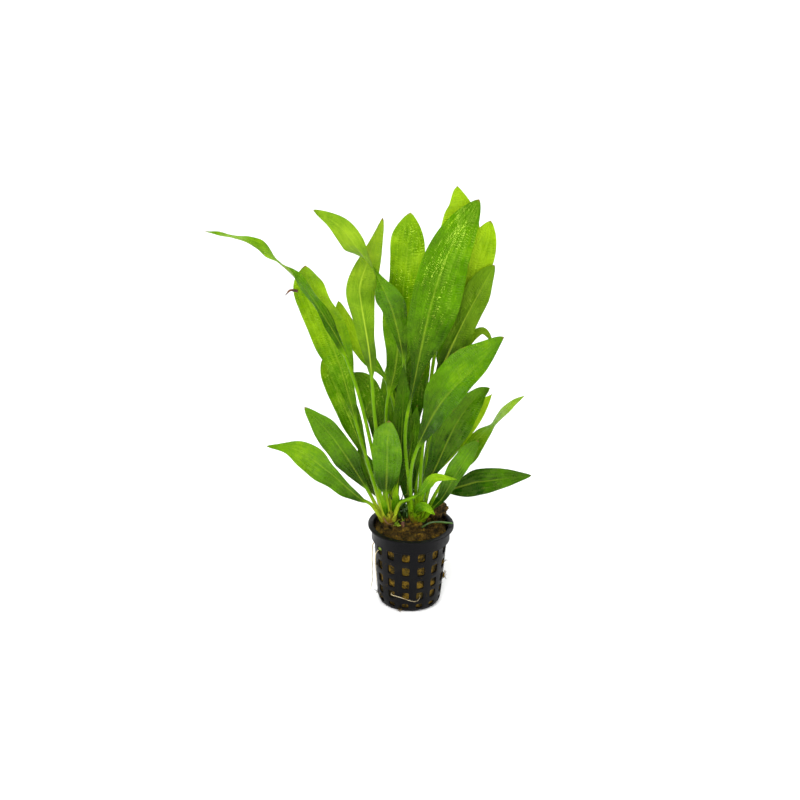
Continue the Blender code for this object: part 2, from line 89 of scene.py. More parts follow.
# (radius, height), from the middle of the top down the outside to the middle of the bottom
WOOL_PROFILE = (
    (0.0, WOOL_TOP), (6.0, WOOL_TOP), (12.0, WOOL_TOP), (16.0, 52.2), (19.0, 51.6),
    (22.6, 49.4), (23.4, 46.0), (21.9, 43.0), (21.5, 38.0), (21.2, 33.0), (20.9, 28.0),
    (20.6, 23.0), (20.3, 18.0), (20.0, 13.0), (19.6, 8.0), (18.4, 2.4), (16.0, 1.3),
    (8.0, 1.3), (0.0, 1.3),
)
WOOL_COLUMNS = 144             # mesh steps round the plug, and along its profile
WOOL_ROWS = 90
WOOL_RIM = 23.0                # radius at which the lumps of the top have died away
RIM_FADE = 4.0                 # and over what distance they do
HEAP_HEIGHT = 2.0              # how far the wool rises round a crown, and how far out
HEAP_REACH = 9.0
CLUMP_PLACE = (17.6, 12.0, 57.6)
CLUMP_SIZE = (7.0, 4.8, 5.8)   # half lengths
CLUMP_TURN = 35
FELT_FIBRES = 2600             # on the plug's top
FELT_REACH = 21.5
FELT_THICK = 0.13              # a fibre's radius at its root
WISP_FIBRES = 1800             # in the holes of the wall
WISP_HEIGHTS = (2.5, 44.5)
WISP_THICK = 0.1
TUFT_FIBRES = 34               # in each tuft
TUFT_THICK = 0.3
# where wisps of wool stick out of the pot
TUFTS = ((21.6, -1.5, 18.9), (21.4, -2.5, 17.4), (-17.6, -9.5, 6.1), (-20.0, -3.0, 5.6),
         (-5.7, -19.4, 2.2), (20.8, -6.0, 30.0), (-20.5, -8.0, 28.0))

# ---- the crowns ------------------------------------------------------------------------
CROWN_TOP = 53.6
ROOTSTOCK_SIZE = (5.3, 5.3, 3.6)   # half lengths
ROOTSTOCK_SINK = 2.4           # how far its middle lies below the crown's top
CROWNS = {"left": (-14.0, 5.0), "right": (3.6, 6.4)}
STALK_FOOT = CROWN_TOP - 2.8   # where every stalk starts
FOOT_IN = 0.55                 # how far in from its seat, as a part of the ring
STUMP_PLACE = (-5.2, -2.4, 53.6)
STUMP_SIZE = (1.7, 1.7, 2.5)   # half lengths
STALK_RADIUS = 1.15
STALK_NECK = 1.0               # radius where the blade begins
SHEATH_LENGTH = 20.0           # how far up a stalk its clasping base reaches
SHEATH_WIDE = 1.1              # how much wider than the stalk the base is, as a part of it
SHEATH_DEEP = 0.5              # how much thicker
SHEATH_CUP = 1.2               # how far the base's margins turn in round the crown

# ---- the leaves ------------------------------------------------------------------------
PATH_STEPS = 24                # fine steps between two points of a leaf's or a strand's path
FRONT = Vector((0.0, -0.914, 0.407))    # the way a leaf with no turn looks
LEAF_AROUND = 52               # mesh points round a leaf: half on its face, half on its back
BLADE_STEP = 1.3               # distance between the rings of a blade
STALK_STEP = 3.0               # and of a stalk
BLADE_THICK = 0.34             # beside the midrib
MARGIN_THICK = 0.12
NECK_SHARE = 1 / 6             # the part of the blade over which it flattens
PUFF = 0.08                    # how far the blade rises between its veins
DENTS = 0.13                   # height of its shallow dents
GROOVE = 0.22                  # depth of the midrib's groove in the face
TIP_HALF = 0.12                # half the width of the very tip
ROUND_TIP = 1.5                # how rounded the ends of an uneven blade are

# name: seat on a crown (crown, ring radius, degrees anticlockwise from +X), the points that
# the midrib passes through, the share of its length that is stalk, the blade's width, its
# outline (where it is widest, how full it is below that and above it), the turns of the
# blade from its base to its tip in degrees (positive swings the right half back, 180 shows
# the underside to the front), and how far the two halves are folded up
LEAVES = {
    "leaf_low_left": (
        ("left", 6.2, 205), ((-25, -2, 67), (-34, -8, 76), (-53, -21, 100), (-71, -33, 119),
                             (-89, -41, 125)), 0.2, 20, (0.45, 1.8, 1.3), (0, 0), 0.15),
    "leaf_lower_left": (
        ("left", 6.2, 178), ((-25, 2, 70), (-32, -1, 84), (-49, -12, 117), (-67, -22, 143)),
        0.26, 20.5, (0.5, 1.6, 2.0), (0, 0), 0.12),
    "leaf_long_arching": (
        ("left", 6.2, 232), ((-23, 1, 90), (-27, 1, 111), (-35, 1, 144), (-45.5, 1, 173.5),
                             (-58.5, 1, 197), (-73.5, -2, 219.5), (-89, -8, 235.5),
                             (-104.5, -17, 248), (-125, -26, 255.5)),
        0.48, 19, (0.35, 1.8, 1.2), (35, 40, 45, 55, 70, 60, 45, 55, 50), 0.15),
    "leaf_broad_left": (
        ("left", 3.1, 180), ((-30, 12, 96), (-39, 18, 125), (-46, 23, 148), (-53, 25, 167),
                             (-66, 22, 203), (-69, 18, 220.5)),
        0.38, 23, (0.6, 1.8, 4.0), (0, 0), 0.08),
    "leaf_mid_left": (
        ("left", 6.2, 150), ((-26, 13, 81), (-37, 22, 107), (-48, 29, 130), (-59, 33, 152)),
        0.36, 17, (0.6, 1.6, 4.0), (0, 0), 0.12),
    "leaf_dark_left": (
        ("left", 6.2, 120), ((-22, 16, 65), (-27, 21, 75), (-35, 25, 95)),
        0.3, 13, (0.5, 1.8, 2.0), (0, 0), 0.1),
    "leaf_inner_left": (
        ("left", 3.1, 120), ((-19, 20, 78), (-22, 27, 99), (-24, 33, 114), (-30, 40, 132),
                             (-41, 45, 139)), 0.4, 14, (0.6, 1.6, 3.0), (0, 0), 0.1),
    "leaf_rear_leaning": (
        ("right", 6.2, 140), ((-9, 34, 104), (-18, 48, 133), (-32, 56, 147), (-46, 61, 170),
                              (-50, 61, 182)), 0.6, 13, (0.5, 1.6, 2.5), (0, 0), 0.1),
    "leaf_pale_ribbed": (
        ("left", 3.1, 240), ((-20, -2, 99), (-24, -5, 127.5), (-28, -8, 172.5),
                             (-33.5, -5, 204), (-34.5, -3, 215.5), (-30.5, -2, 230),
                             (-21.5, -8, 260.5)), 0.5, 16.5, (0.48, 1.5, 1.15), (180, 180), 0.2),
    "leaf_twisted": (
        ("left", 3.1, 300), ((-9, 7, 109), (-7, 7, 137), (-7, 6, 162), (-13.5, 3, 193),
                             (-19, -5, 211.5), (-24, -11, 224), (-27.5, -14, 232),
                             (-35.5, -16, 243.5), (-47, -15, 257), (-62.5, -13, 266)),
        0.46, 17, (0.42, 1.6, 2.2), (0, 0, 0, 5, 20, 85, 160, 170, 170), 0.15),
    "leaf_tall_centre": (
        ("left", 3.1, 0), ((-16, 10, 107), (-17, 12, 131), (-12, 14, 157), (-9, 17, 199),
                           (-6, 20, 237), (-5, 21, 255)),
        0.42, 26, (0.62, 1.8, 4.0), (0, 0), 0.1),
    "leaf_largest": (
        ("right", 3.1, 240), ((-5, 0, 112), (0, -2, 154), (9.5, -1, 207), (19, 3, 237),
                              (36, 9, 268)), 0.36, 31, (0.58, 1.6, 2.4), (0, 0), 0.12),
    "leaf_top": (
        ("right", 0.0, 0), ((3, 11, 83), (9, 17, 132), (13, 21, 167), (22, 27, 213),
                            (28, 31, 251), (23, 29, 270)),
        0.55, 27, (0.55, 1.8, 2.0), (0, 0), 0.12),
    "leaf_tall_right": (
        ("right", 3.1, 0), ((11, 16, 105), (21, 19, 158), (30, 20, 197), (36, 21, 222),
                            (44, 21, 251)), 0.55, 22, (0.6, 1.8, 3.5), (0, 0), 0.12),
    "leaf_upper_right": (
        ("right", 3.1, 300), ((7, 9, 115), (14, 11, 149), (28, 12, 185), (42, 12, 215),
                              (47, 11, 226)), 0.52, 20, (0.6, 1.6, 2.0), (180, 180), 0.12),
    "leaf_curled_right": (
        ("right", 3.1, 60), ((11, 28, 107), (21, 40, 134), (30, 48, 153), (36, 52, 162),
                             (43, 55, 166), (48, 57, 161), (50, 58, 154)),
        0.66, 6, (0.5, 1.8, 1.8), (0, 0), 0.1),
    "leaf_broad_right": (
        ("right", 6.2, 226), ((-1, -3, 89), (4, -7, 114), (17, -16, 146), (40, -28, 179),
                              (52, -35, 197)), 0.36, 26, (0.56, 1.7, 2.4), (-22, -22), 0.25),
    "leaf_mid_right": (
        ("right", 6.2, 275), ((8, -2, 79), (14, -4, 94), (27, -10, 130), (39, -14, 150),
                              (46, -16, 156)), 0.26, 21, (0.5, 1.7, 2.0), (0, 0), 0.25),
    "leaf_mid_right_rear": (
        ("right", 6.2, 350), ((12, 9, 80), (22, 11, 101), (32, 12, 118), (49, 12, 140)),
        0.3, 15, (0.55, 1.7, 2.2), (0, 0), 0.1),
    "leaf_narrow_right": (
        ("right", 6.2, 15), ((18, 13, 74), (34, 20, 93), (40, 22, 102), (51, 26, 113),
                             (62, 31, 126), (71, 34, 130)),
        0.34, 14, (0.4, 1.8, 1.4), (0, 0, 0, 60, 60, 40), 0.1),
    "leaf_small_right": (
        ("right", 6.2, 300), ((14, -5, 68), (20, -9, 78), (29, -17, 101), (40, -24, 124)),
        0.2, 13, (0.5, 1.8, 1.8), (0, 0), 0.12),
    "leaf_low_right": (
        ("right", 6.2, 325), ((18, -2, 75), (37, -12, 89), (48, -18, 94), (73, -32, 105)),
        0.34, 18, (0.45, 2.0, 1.8), (0, 0), 0.1),
    "leaf_crossing": (
        ("left", 6.2, 310), ((-8, -4, 69), (-1, -9, 76), (5, -12, 81), (10, -14, 89),
                             (15, -15, 94), (28, -17, 94)),
        0.5, 6.5, (0.45, 1.6, 1.5), (0, 0), 0.15),
    "leaf_front": (
        ("left", 6.2, 284), ((-16, -3, 75), (-16, -9, 95), (-16, -16, 116),
                             (-15, -24, 136)), 0.28, 18.6, (0.55, 2.0, 4.5), (0, 0), 0.1),
    "leaf_inner_right": (
        ("right", 3.1, 180), ((-3, 14, 85), (-3, 18, 111), (-2, 21, 138), (1, 22, 164)),
        0.35, 16, (0.55, 1.8, 2.5), (0, 0), 0.1),
    "leaf_short_centre": (
        ("right", 6.2, 190), ((-3, 8, 80), (-1, 8, 105), (2, 8, 133)),
        0.12, 14, (0.5, 1.8, 2.0), (0, 0), 0.1),
    "leaf_inner_centre": (
        ("left", 6.2, 2), ((-8, 3, 95), (-7, 4, 127), (-7, 4, 147), (-7, 3, 163)),
        0.2, 12, (0.5, 1.8, 2.0), (0, 0), 0.15),
    "leaf_bent": (
        ("right", 6.2, 252), ((3, -5, 65), (8, -10, 71), (15, -13, 67)),
        0.4, 6, (0.5, 1.8, 2.0), (0, 0), 0.1),
    "leaf_young_left": (
        ("left", 6.2, 258), ((-17, -3, 67), (-20, -4, 76), (-22, -5, 85)),
        0.2, 3.6, (0.4, 1.8, 1.5), (0, 0), 0.3),
    "leaf_young_centre": (
        ("left", 6.2, 336), ((-10, 0, 69), (-10, -1, 76), (-9, -2, 84)),
        0.2, 5, (0.4, 1.8, 1.5), (0, 0), 0.3),
    "leaf_rear_tall": (
        ("left", 3.1, 60), ((-8, 24, 100), (-7, 40, 145), (-6, 54, 185), (-5, 64, 212)),
        0.42, 24, (0.55, 1.8, 2.5), (0, 0), 0.12),
    "leaf_rear_left": (
        ("left", 6.2, 90), ((-12, 30, 88), (-12, 54, 116), (-10, 76, 134), (-8, 92, 140)),
        0.36, 20, (0.5, 1.8, 2.0), (0, 0), 0.15),
    "leaf_rear_low_left": (
        ("left", 6.2, 60), ((-9, 28, 70), (-9, 52, 82), (-8, 72, 80), (-7, 90, 70)),
        0.3, 20, (0.5, 1.8, 2.0), (0, 0), 0.15),
    "leaf_rear_centre": (
        ("right", 6.2, 98), ((2, 34, 98), (-1, 58, 132), (-2, 80, 156), (-3, 96, 166)),
        0.4, 24, (0.55, 1.8, 2.2), (0, 0), 0.12),
    "leaf_rear_right": (
        ("right", 6.2, 70), ((15, 32, 110), (21, 50, 150), (26, 66, 180), (30, 78, 198)),
        0.55, 22, (0.5, 1.8, 2.2), (0, 0), 0.12),
    "leaf_rear_low_right": (
        ("right", 6.2, 42), ((14, 34, 74), (20, 56, 86), (25, 76, 86), (28, 92, 78)),
        0.36, 16, (0.5, 1.8, 1.8), (0, 0), 0.15),
}

# the blades that aren't even: half widths at even steps from the base to the tip, first on
# the left of the face and then on its right
SIDES = {
    "leaf_low_left": ((3.6, 6.6, 7.5, 9.3, 9.0, 7.8, 3.2), (2.1, 2.6, 3.9, 5.4, 8.0, 6.8, 3.0)),
    "leaf_lower_left": ((3.5, 6.4, 8.6, 8.5, 8.8, 7.5, 4.5), (3.1, 5.3, 7.8, 7.3, 7.1, 7.0, 4.1)),
    "leaf_mid_left": ((2.2, 4.3, 6.0, 6.3, 6.5, 6.3, 5.2), (3.0, 5.0, 7.0, 8.0, 8.0, 7.0, 5.0)),
    "leaf_front": ((5.6, 8.0, 8.6, 9.0, 9.2, 9.0, 8.0), (5.0, 7.4, 8.5, 9.3, 8.8, 7.6, 5.4)),
    "leaf_broad_left": ((2.5, 5.4, 8.1, 10.4, 10.6, 10.7, 9.9),
                        (4.0, 5.9, 10.0, 12.6, 12.6, 9.8, 9.0)),
    "leaf_pale_ribbed": ((4.0, 4.5, 6.9, 9.0, 9.2, 7.0, 4.4), (3.5, 5.7, 6.8, 8.4, 7.4, 4.6, 2.2)),
    "leaf_tall_centre": ((5.0, 7.0, 10.4, 11.0, 9.2, 9.9, 10.4),
                         (5.0, 8.0, 10.0, 11.0, 11.0, 11.5, 9.4)),
    "leaf_largest": ((1.8, 4.6, 10.9, 12.4, 13.2, 12.7, 9.7),
                     (2.0, 6.3, 12.8, 17.0, 16.6, 13.7, 9.4)),
    "leaf_top": ((4.0, 8.0, 11.0, 12.5, 13.2, 13.0, 10.4), (4.0, 8.0, 11.0, 12.0, 12.0, 10.0, 4.6)),
    "leaf_tall_right": ((3.0, 6.0, 8.5, 9.5, 9.5, 9.5, 7.5), (3.0, 6.0, 8.5, 9.5, 9.4, 9.8, 7.6)),
    "leaf_upper_right": ((4.0, 8.9, 9.5, 8.6, 8.1, 7.6, 4.4), (3.0, 4.5, 5.2, 5.4, 6.5, 9.2, 7.4)),
    "leaf_broad_right": ((3.0, 6.6, 11.6, 14.6, 15.2, 12.8, 7.6),
                         (4.6, 8.6, 10.2, 10.4, 9.6, 7.7, 4.8)),
    "leaf_mid_right": ((5.0, 6.8, 9.6, 10.7, 10.3, 8.3, 5.4), (2.0, 4.0, 6.6, 8.8, 10.0, 8.7, 6.0)),
    "leaf_narrow_right": ((3.0, 5.0, 5.0, 5.0, 4.3, 4.6, 2.0), (5.0, 7.0, 6.5, 4.2, 4.0, 5.4, 4.6)),
    "leaf_small_right": ((2.5, 4.0, 5.5, 6.6, 7.4, 6.8, 6.0), (1.8, 2.5, 3.4, 3.9, 4.4, 4.4, 3.3)),
    "leaf_low_right": ((3.6, 5.6, 7.8, 8.2, 7.5, 5.8, 3.3), (5.2, 7.8, 8.4, 7.6, 6.2, 4.7, 2.7)),
    "leaf_twisted": ((1.8, 3.2, 5.5, 6.0, 7.4, 6.4, 3.0, 5.0, 6.2, 6.2, 4.0),
                     (3.0, 5.7, 7.9, 9.4, 7.6, 3.8, 3.0, 6.2, 8.0, 6.6, 3.6)),
    "leaf_rear_leaning": ((2.5, 4.2, 4.8, 5.5, 5.4, 5.4, 4.4), (2.0, 4.3, 6.0, 5.1, 4.6, 4.4, 3.4)),
    "leaf_long_arching": ((4.0, 4.6, 4.9, 5.0, 5.0, 3.6, 2.4, 2.6, 2.8, 2.6, 1.8),
                          (2.5, 3.5, 4.5, 5.0, 5.0, 3.2, 2.4, 5.2, 4.6, 2.8, 1.5)),
}

# name: how bright the green is from 0 to 1 (partly the leaf's own tone and partly painted light:
# painted shade darkens the inner and low leaves, painted backlight brightens the top ones),
# height of the margin's waves, how many waves, how far the margins roll (positive towards the face)
LOOKS = {
    "leaf_low_left": (0.52, 0.8, 2.5, 0.05), "leaf_lower_left": (0.34, 0.9, 2.5, 0.05),
    "leaf_long_arching": (0.58, 1.4, 4.0, 0.1), "leaf_broad_left": (0.66, 1.2, 3.5, 0.1),
    "leaf_mid_left": (0.52, 1.0, 3.0, 0.1), "leaf_dark_left": (0.15, 0.5, 2.0, 0.0),
    "leaf_inner_left": (0.28, 1.2, 3.0, 0.0), "leaf_rear_leaning": (0.8, 1.0, 3.5, 0.0),
    "leaf_pale_ribbed": (0.56, 1.2, 3.5, 0.0), "leaf_twisted": (0.5, 1.0, 3.0, 0.0),
    "leaf_tall_centre": (0.62, 1.3, 3.5, 0.05), "leaf_largest": (0.33, 1.0, 3.5, 0.1),
    "leaf_top": (0.95, 1.2, 3.0, 0.0), "leaf_tall_right": (0.82, 1.2, 3.0, 0.0),
    "leaf_upper_right": (0.3, 1.0, 3.0, -0.05), "leaf_curled_right": (0.6, 0.5, 2.0, 0.0),
    "leaf_broad_right": (0.42, 1.0, 3.0, 0.05), "leaf_mid_right": (0.26, 0.8, 2.5, 0.1),
    "leaf_mid_right_rear": (0.85, 1.0, 2.5, 0.0), "leaf_narrow_right": (0.6, 0.8, 3.0, 0.0),
    "leaf_small_right": (0.28, 0.6, 2.5, 0.05), "leaf_low_right": (0.13, 0.6, 2.5, 0.0),
    "leaf_crossing": (0.6, 0.4, 2.0, 0.0), "leaf_front": (0.4, 0.5, 2.0, 0.05),
    "leaf_inner_right": (0.12, 1.0, 3.0, 0.0), "leaf_short_centre": (0.12, 0.5, 2.0, 0.0),
    "leaf_inner_centre": (0.08, 0.8, 3.0, 0.0), "leaf_bent": (0.55, 0.3, 1.0, 0.0),
    "leaf_young_left": (0.6, 0.0, 1.0, 0.1), "leaf_young_centre": (0.6, 0.0, 1.0, 0.1),
    "leaf_rear_tall": (0.5, 1.4, 3.0, 0.05), "leaf_rear_left": (0.5, 1.2, 3.0, 0.05),
    "leaf_rear_low_left": (0.45, 1.0, 3.0, 0.05), "leaf_rear_centre": (0.58, 1.3, 3.0, 0.05),
    "leaf_rear_right": (0.58, 1.2, 3.0, 0.05), "leaf_rear_low_right": (0.4, 1.0, 3.0, 0.05),
}

# ---- stalks, roots and the runner ------------------------------------------------------
# name: (radius, points)
STRANDS = {
    "stalk_cut": (0.9, ((10.5, 4.4, 60), (14.5, 3.6, 66), (18.5, 3.6, 73))),
    "runner_stem": (0.7, ((7, -4, 53.4), (12, -4, 56.5), (18, -3, 57), (26.6, -1, 54.9))),
    "root_left_long": (0.36, ((-22.6, -3.4, 41.6), (-24.2, -3.6, 39.5), (-24.4, -3.6, 30),
                              (-24.2, -3.6, 18), (-24.6, -3.2, 9), (-27, -3, 4.6))),
    "root_left_short": (0.28, ((-20.4, -12.4, 40.6), (-22, -12.8, 38), (-22.1, -12.7, 30),
                              (-21.4, -12.4, 22), (-21.2, -11.8, 15))),
    "root_front": (0.2, ((-11.0, -17.6, 12.6), (-11.6, -19.4, 12.4), (-6, -21.8, 11.9),
                         (1.4, -22.4, 9.6), (5.4, -21.8, 9.6), (6.9, -20.6, 12),
                         (6.4, -19.0, 12.6))),
}

WANDER_SHIFTS = (0.0, 31.4, 67.9)   # keeps a strand's three wanderings apart

# small green buds, and narrow shoots that come up between the crowns
BUDS = ((-9.6, -3.6, 54.4), (-8.2, -4.4, 54.0), (-5.0, 1.0, 54.5), (-19.2, -12.4, 41.5))
BUD_SHOOTS = 5
BUD_THICK = 0.55
SHOOTS = 18
SHOOTS_MIDDLE = (-5.0, 10.0, 52.5)
SHOOT_THICK = 1.3
STRAND_STEP = 1.0              # distance between a strand's rings
FIBRE_SEGMENTS = 5
FIBRE_TAPER = 0.85             # how much of its thickness a fibre loses on its way

# a withered leaf tip that shows at the left, and a dead stem on the wool
WITHERED = {
    "withered_tip": (0.9, ((-74, 17, 204), (-76.5, 15, 205.5), (-78.5, 13, 205), (-81, 11, 203))),
    "dead_stem_scrap": (0.35, ((-17.5, -5.5, 60.0), (-15.0, -7.0, 57.0), (-11.5, -7.5, 56.5))),
}

# ---- the camera ------------------------------------------------------------------------
CAMERA_PLACE = (-8.8, -1057.6, 594.1)
CAMERA_TILT = 66.75            # degrees from looking straight down
CAMERA_ROLL = 1.3
CAMERA_LENS = 83.2
CAMERA_SENSOR = 36

# ---- colours (linear) and patterns -----------------------------------------------------
# three greens, from a leaf's darkest to its brightest
FACE_GREENS = ((0.003, 0.030, 0.0), (0.052, 0.160, 0.0), (0.220, 0.375, 0.004))
BACK_GREENS = ((0.012, 0.052, 0.0), (0.085, 0.185, 0.003), (0.235, 0.350, 0.012))
RIB_PALE = (0.30, 0.40, 0.030)
STALK_GREEN = (0.085, 0.205, 0.001)
STALK_PALE = (0.33, 0.40, 0.02)
SHEATH_STAIN = (0.12, 0.040, 0.008)
PALE_RIGHT = 0.1               # how pale the right crown's stalks are beside the left's
EDGE_BROWN = (0.13, 0.07, 0.015)
LEAF_SHINE = (0.85, 1.0, 0.14)  # the tint of the gloss
LEAF_GLOSS = 0.36
POT_GLOSS = 0.07
WOOL_GLOSS = 0.15
RIB_SPACING = 0.34             # between the main veins, as a part of the half width
VEIN_SPACING = 0.016           # between the cross veins, in the blade map's tenths of a metre
VEIN_SLANT = 0.045
STREAKS_ACROSS = 34.0          # long fine veins to a blade's width
STREAKS_ALONG = 9.0            # and to each tenth of a metre along it
RIDGES_ACROSS = 11.0           # the uneven puckers between the veins, counted the same way
RIDGES_ALONG = 55.0
POT_BLACK = (0.0025, 0.0025, 0.003)
POT_DUST = (0.008, 0.0075, 0.006)
WOOL_DARK = (0.012, 0.009, 0.002)
WOOL_LIGHT = (0.175, 0.103, 0.008)
WOOL_OLIVE = (0.060, 0.044, 0.005)
FELT_DARK = (0.012, 0.009, 0.003)
FELT_LIGHT = (0.11, 0.062, 0.012)
CROWN_BROWN = (0.22, 0.13, 0.04)
CROWN_PALE = (0.42, 0.42, 0.12)
STEM_DARK = (0.012, 0.035, 0.003)
STEM_GREEN = (0.045, 0.12, 0.006)
ROOT_TAN = (0.24, 0.17, 0.07)
ROOT_CREAM = (0.52, 0.44, 0.26)
STUMP_DARK = (0.03, 0.012, 0.006)
STUMP_BROWN = (0.16, 0.06, 0.025)
FLOOR_WHITE = (0.86, 0.86, 0.86)

# ---- light -----------------------------------------------------------------------------
FLOOR_SIZE = 12.0              # metres, as all the sizes of the studio are
ROOM_LIGHT = 0.45
MIDDLE = (0.0, 0.0, 0.13)      # the middle of the plant
# name, place, aim, size, watts
SOFTBOXES = (
    ("key_softbox", (-0.25, -0.55, 1.15), MIDDLE, (0.7, 0.7), 13.5),
    ("gloss_softbox", (-0.10, -1.10, 0.42), MIDDLE, (0.36, 0.14), 8.0),
    ("fill_softbox", (0.9, -0.5, 0.6), MIDDLE, (0.5, 0.5), 4.0),
    ("top_softbox", (0.1, 0.4, 1.2), MIDDLE, (0.8, 0.5), 6.0),
    ("back_softbox", (0.0, 2.0, 1.3), (0.0, 2.0, 0.0), (2.4, 1.2), 45.0),
)


# ---- small helpers ---------------------------------------------------------------------
def deselect():
    """Leaves nothing selected, so that the next step touches only what it makes."""
    bpy.ops.object.select_all(action="DESELECT")


def active(piece):
    """Selects only this piece."""
    deselect()
    piece.select_set(True)
    bpy.context.view_layer.objects.active = piece


def named(name):
    """The active object, renamed, with its place moved into its mesh."""
    piece = bpy.context.object
    piece.name = name
    piece.data.name = name
    bpy.ops.object.transform_apply(location=True, rotation=True, scale=True)
    return piece


def set_points(piece, points):
    """Moves the piece's vertices to these places, in metres."""
    piece.data.vertices.foreach_set("co", np.asarray(points, dtype=float).ravel())
    piece.data.update()


def apply_modifiers(piece):
    """Makes the piece's modifiers part of its mesh, in their order."""
    active(piece)
    for modifier in list(piece.modifiers):
        bpy.ops.object.modifier_apply(modifier=modifier.name)


def linked(name, data):
    """A new object for this mesh, curve, lamp or camera."""
    made = bpy.data.objects.new(name, data)
    bpy.context.scene.collection.objects.link(made)
    return made


def close_up():
    """Joins the active mesh's vertices that meet, caps its ends and turns its faces outward."""
    bpy.ops.object.mode_set(mode="EDIT")
    bpy.ops.mesh.select_all(action="SELECT")
    bpy.ops.mesh.remove_doubles(threshold=1e-7)
    bpy.ops.mesh.fill_holes(sides=0)
    bpy.ops.mesh.select_all(action="SELECT")
    bpy.ops.mesh.normals_make_consistent(inside=False)
    bpy.ops.object.mode_set(mode="OBJECT")


def lumpy_ball(name, size, place, fineness, push, turn=0.0):
    """A ball stretched to its half lengths, turned, and pushed in and out along its normals."""
    deselect()
    bpy.ops.mesh.primitive_ico_sphere_add(subdivisions=fineness, radius=MM)
    ball = bpy.context.object
    ball.scale = size
    ball.rotation_euler.z = math.radians(turn)
    ball.location = Vector(place) * MM
    named(name)
    places = []
    for vert in ball.data.vertices:
        point = vert.co / MM
        places.append(tuple(point + vert.normal * push(point)))
    set_points(ball, np.array(places) * MM)
    bpy.ops.object.shade_smooth()
    return ball


def finish_piece(piece, look, slot, *nodes):
    """Gives a piece its material and its place in the model."""
    piece.data.materials.clear()
    piece.data.materials.append(look)
    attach(piece, "root")
    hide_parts(*nodes)


def on_circle(radius, degrees):
    """The x and y of a place on a circle, anticlockwise from +X."""
    return radius * math.cos(math.radians(degrees)), radius * math.sin(math.radians(degrees))


def own_number(name, spread):
    """A number from 0 to spread that is always the same for this name."""
    return zlib.crc32(name.encode()) % 1000 / 1000 * spread


def unit(rows):
    """The rows of an array, each made one long."""
    return rows / np.linalg.norm(rows, axis=1)[:, None]


# ---- materials -------------------------------------------------------------------------
class Finish:
    """A material and the nodes that make it."""

    def __init__(self, name, roughness=0.5):
        self.material = bpy.data.materials.new(name)
        self.material.use_nodes = True
        self.tree = self.material.node_tree
        self.shader = self.tree.nodes["Principled BSDF"]
        self.shader.inputs["Roughness"].default_value = roughness

    def put(self, socket, value):
        """Joins another node's output to a socket, or sets the socket to a value."""
        if isinstance(value, bpy.types.NodeSocket):
            self.tree.links.new(value, socket)
        elif isinstance(value, tuple) and len(value) == 3 and len(socket.default_value) == 4:
            socket.default_value = (*value, 1.0)
        else:
            socket.default_value = value

    def node(self, kind, **inputs):
        """A new node with these inputs set or joined."""
        made = self.tree.nodes.new(kind)
        for name, value in inputs.items():
            self.put(made.inputs[name.replace("_", " ")], value)
        return made

    def sum(self, operation, *values, clamp=False):
        """One step of arithmetic."""
        made = self.tree.nodes.new("ShaderNodeMath")
        made.operation = operation
        made.use_clamp = clamp
        for socket, value in zip(made.inputs, values):
            self.put(socket, value)
        return made.outputs[0]

    def between(self, value, low, high, to_low=0.0, to_high=1.0):
        """A value carried smoothly from one range to another, and held at its ends."""
        made = self.node("ShaderNodeMapRange", Value=value)
        made.interpolation_type = "SMOOTHSTEP"
        for socket, number in zip(made.inputs[1:5], (low, high, to_low, to_high)):
            socket.default_value = number
        return made.outputs[0]

    def mix(self, share, first, second):
        """The first colour where the share is 0, the second where it is 1."""
        made = self.tree.nodes.new("ShaderNodeMix")
        made.data_type = "RGBA"
        self.put(made.inputs[0], share)
        self.put(made.inputs[6], first)
        self.put(made.inputs[7], second)
        return made.outputs[2]

    def greens(self, share, stops):
        """Three colours in a row, the middle one half way."""
        made = self.node("ShaderNodeValToRGB", Fac=share)
        made.color_ramp.elements.new(0.5)
        for element, colour in zip(made.color_ramp.elements, stops):
            element.color = (*colour, 1.0)
        return made.outputs["Color"]

    def place(self):
        """Where a point is in the piece's own frame, in metres."""
        return self.tree.nodes.new("ShaderNodeTexCoord").outputs["Object"]

    def noise(self, scale, detail=3.0, rough=0.55, vector=None):
        """Soft noise, so many grains to a metre unless it has another vector."""
        made = self.node("ShaderNodeTexNoise", Vector=vector or self.place(), Scale=scale,
                         Detail=detail, Roughness=rough)
        return made.outputs["Fac"]

    def bump(self, height, distance, strength=1.0, below=None):
        """A fine relief, laid over another one if there is one below it."""
        made = self.node("ShaderNodeBump", Height=height, Distance=distance, Strength=strength)
        if below is not None:
            self.put(made.inputs["Normal"], below)
        return made.outputs["Normal"]


def blade_relief(skin, across, out, along):
    """The quilting between the veins, the uneven puckers and the long fine veins."""
    ribs = skin.sum("PINGPONG", out, RIB_SPACING / 2)
    ribs = skin.between(ribs, 0.0, RIB_SPACING / 2)
    slanted = skin.sum("SUBTRACT", along, skin.sum("MULTIPLY", out, VEIN_SLANT))
    wander = skin.sum("MULTIPLY", skin.noise(60.0, 3.0), 0.05)
    slanted = skin.sum("ADD", slanted, wander)
    veins = skin.sum("PINGPONG", slanted, VEIN_SPACING / 2)
    veins = skin.between(veins, 0.0, VEIN_SPACING / 2)
    quilt = skin.sum("MULTIPLY", ribs, veins)
    quilt = skin.sum("MULTIPLY", quilt, skin.between(skin.noise(110.0, 2.0), 0.3, 0.7, 0.0, 1.0))
    ridge = skin.node("ShaderNodeCombineXYZ", X=skin.sum("MULTIPLY", across, RIDGES_ACROSS),
                      Y=skin.sum("MULTIPLY", slanted, RIDGES_ALONG))
    puckers = skin.noise(1.0, 2.0, 0.5, ridge.outputs[0])
    run = skin.node("ShaderNodeCombineXYZ", X=skin.sum("MULTIPLY", across, STREAKS_ACROSS),
                    Y=skin.sum("MULTIPLY", along, STREAKS_ALONG))
    streaks = skin.noise(1.0, 3.0, 0.6, run.outputs[0])
    return quilt, puckers, streaks


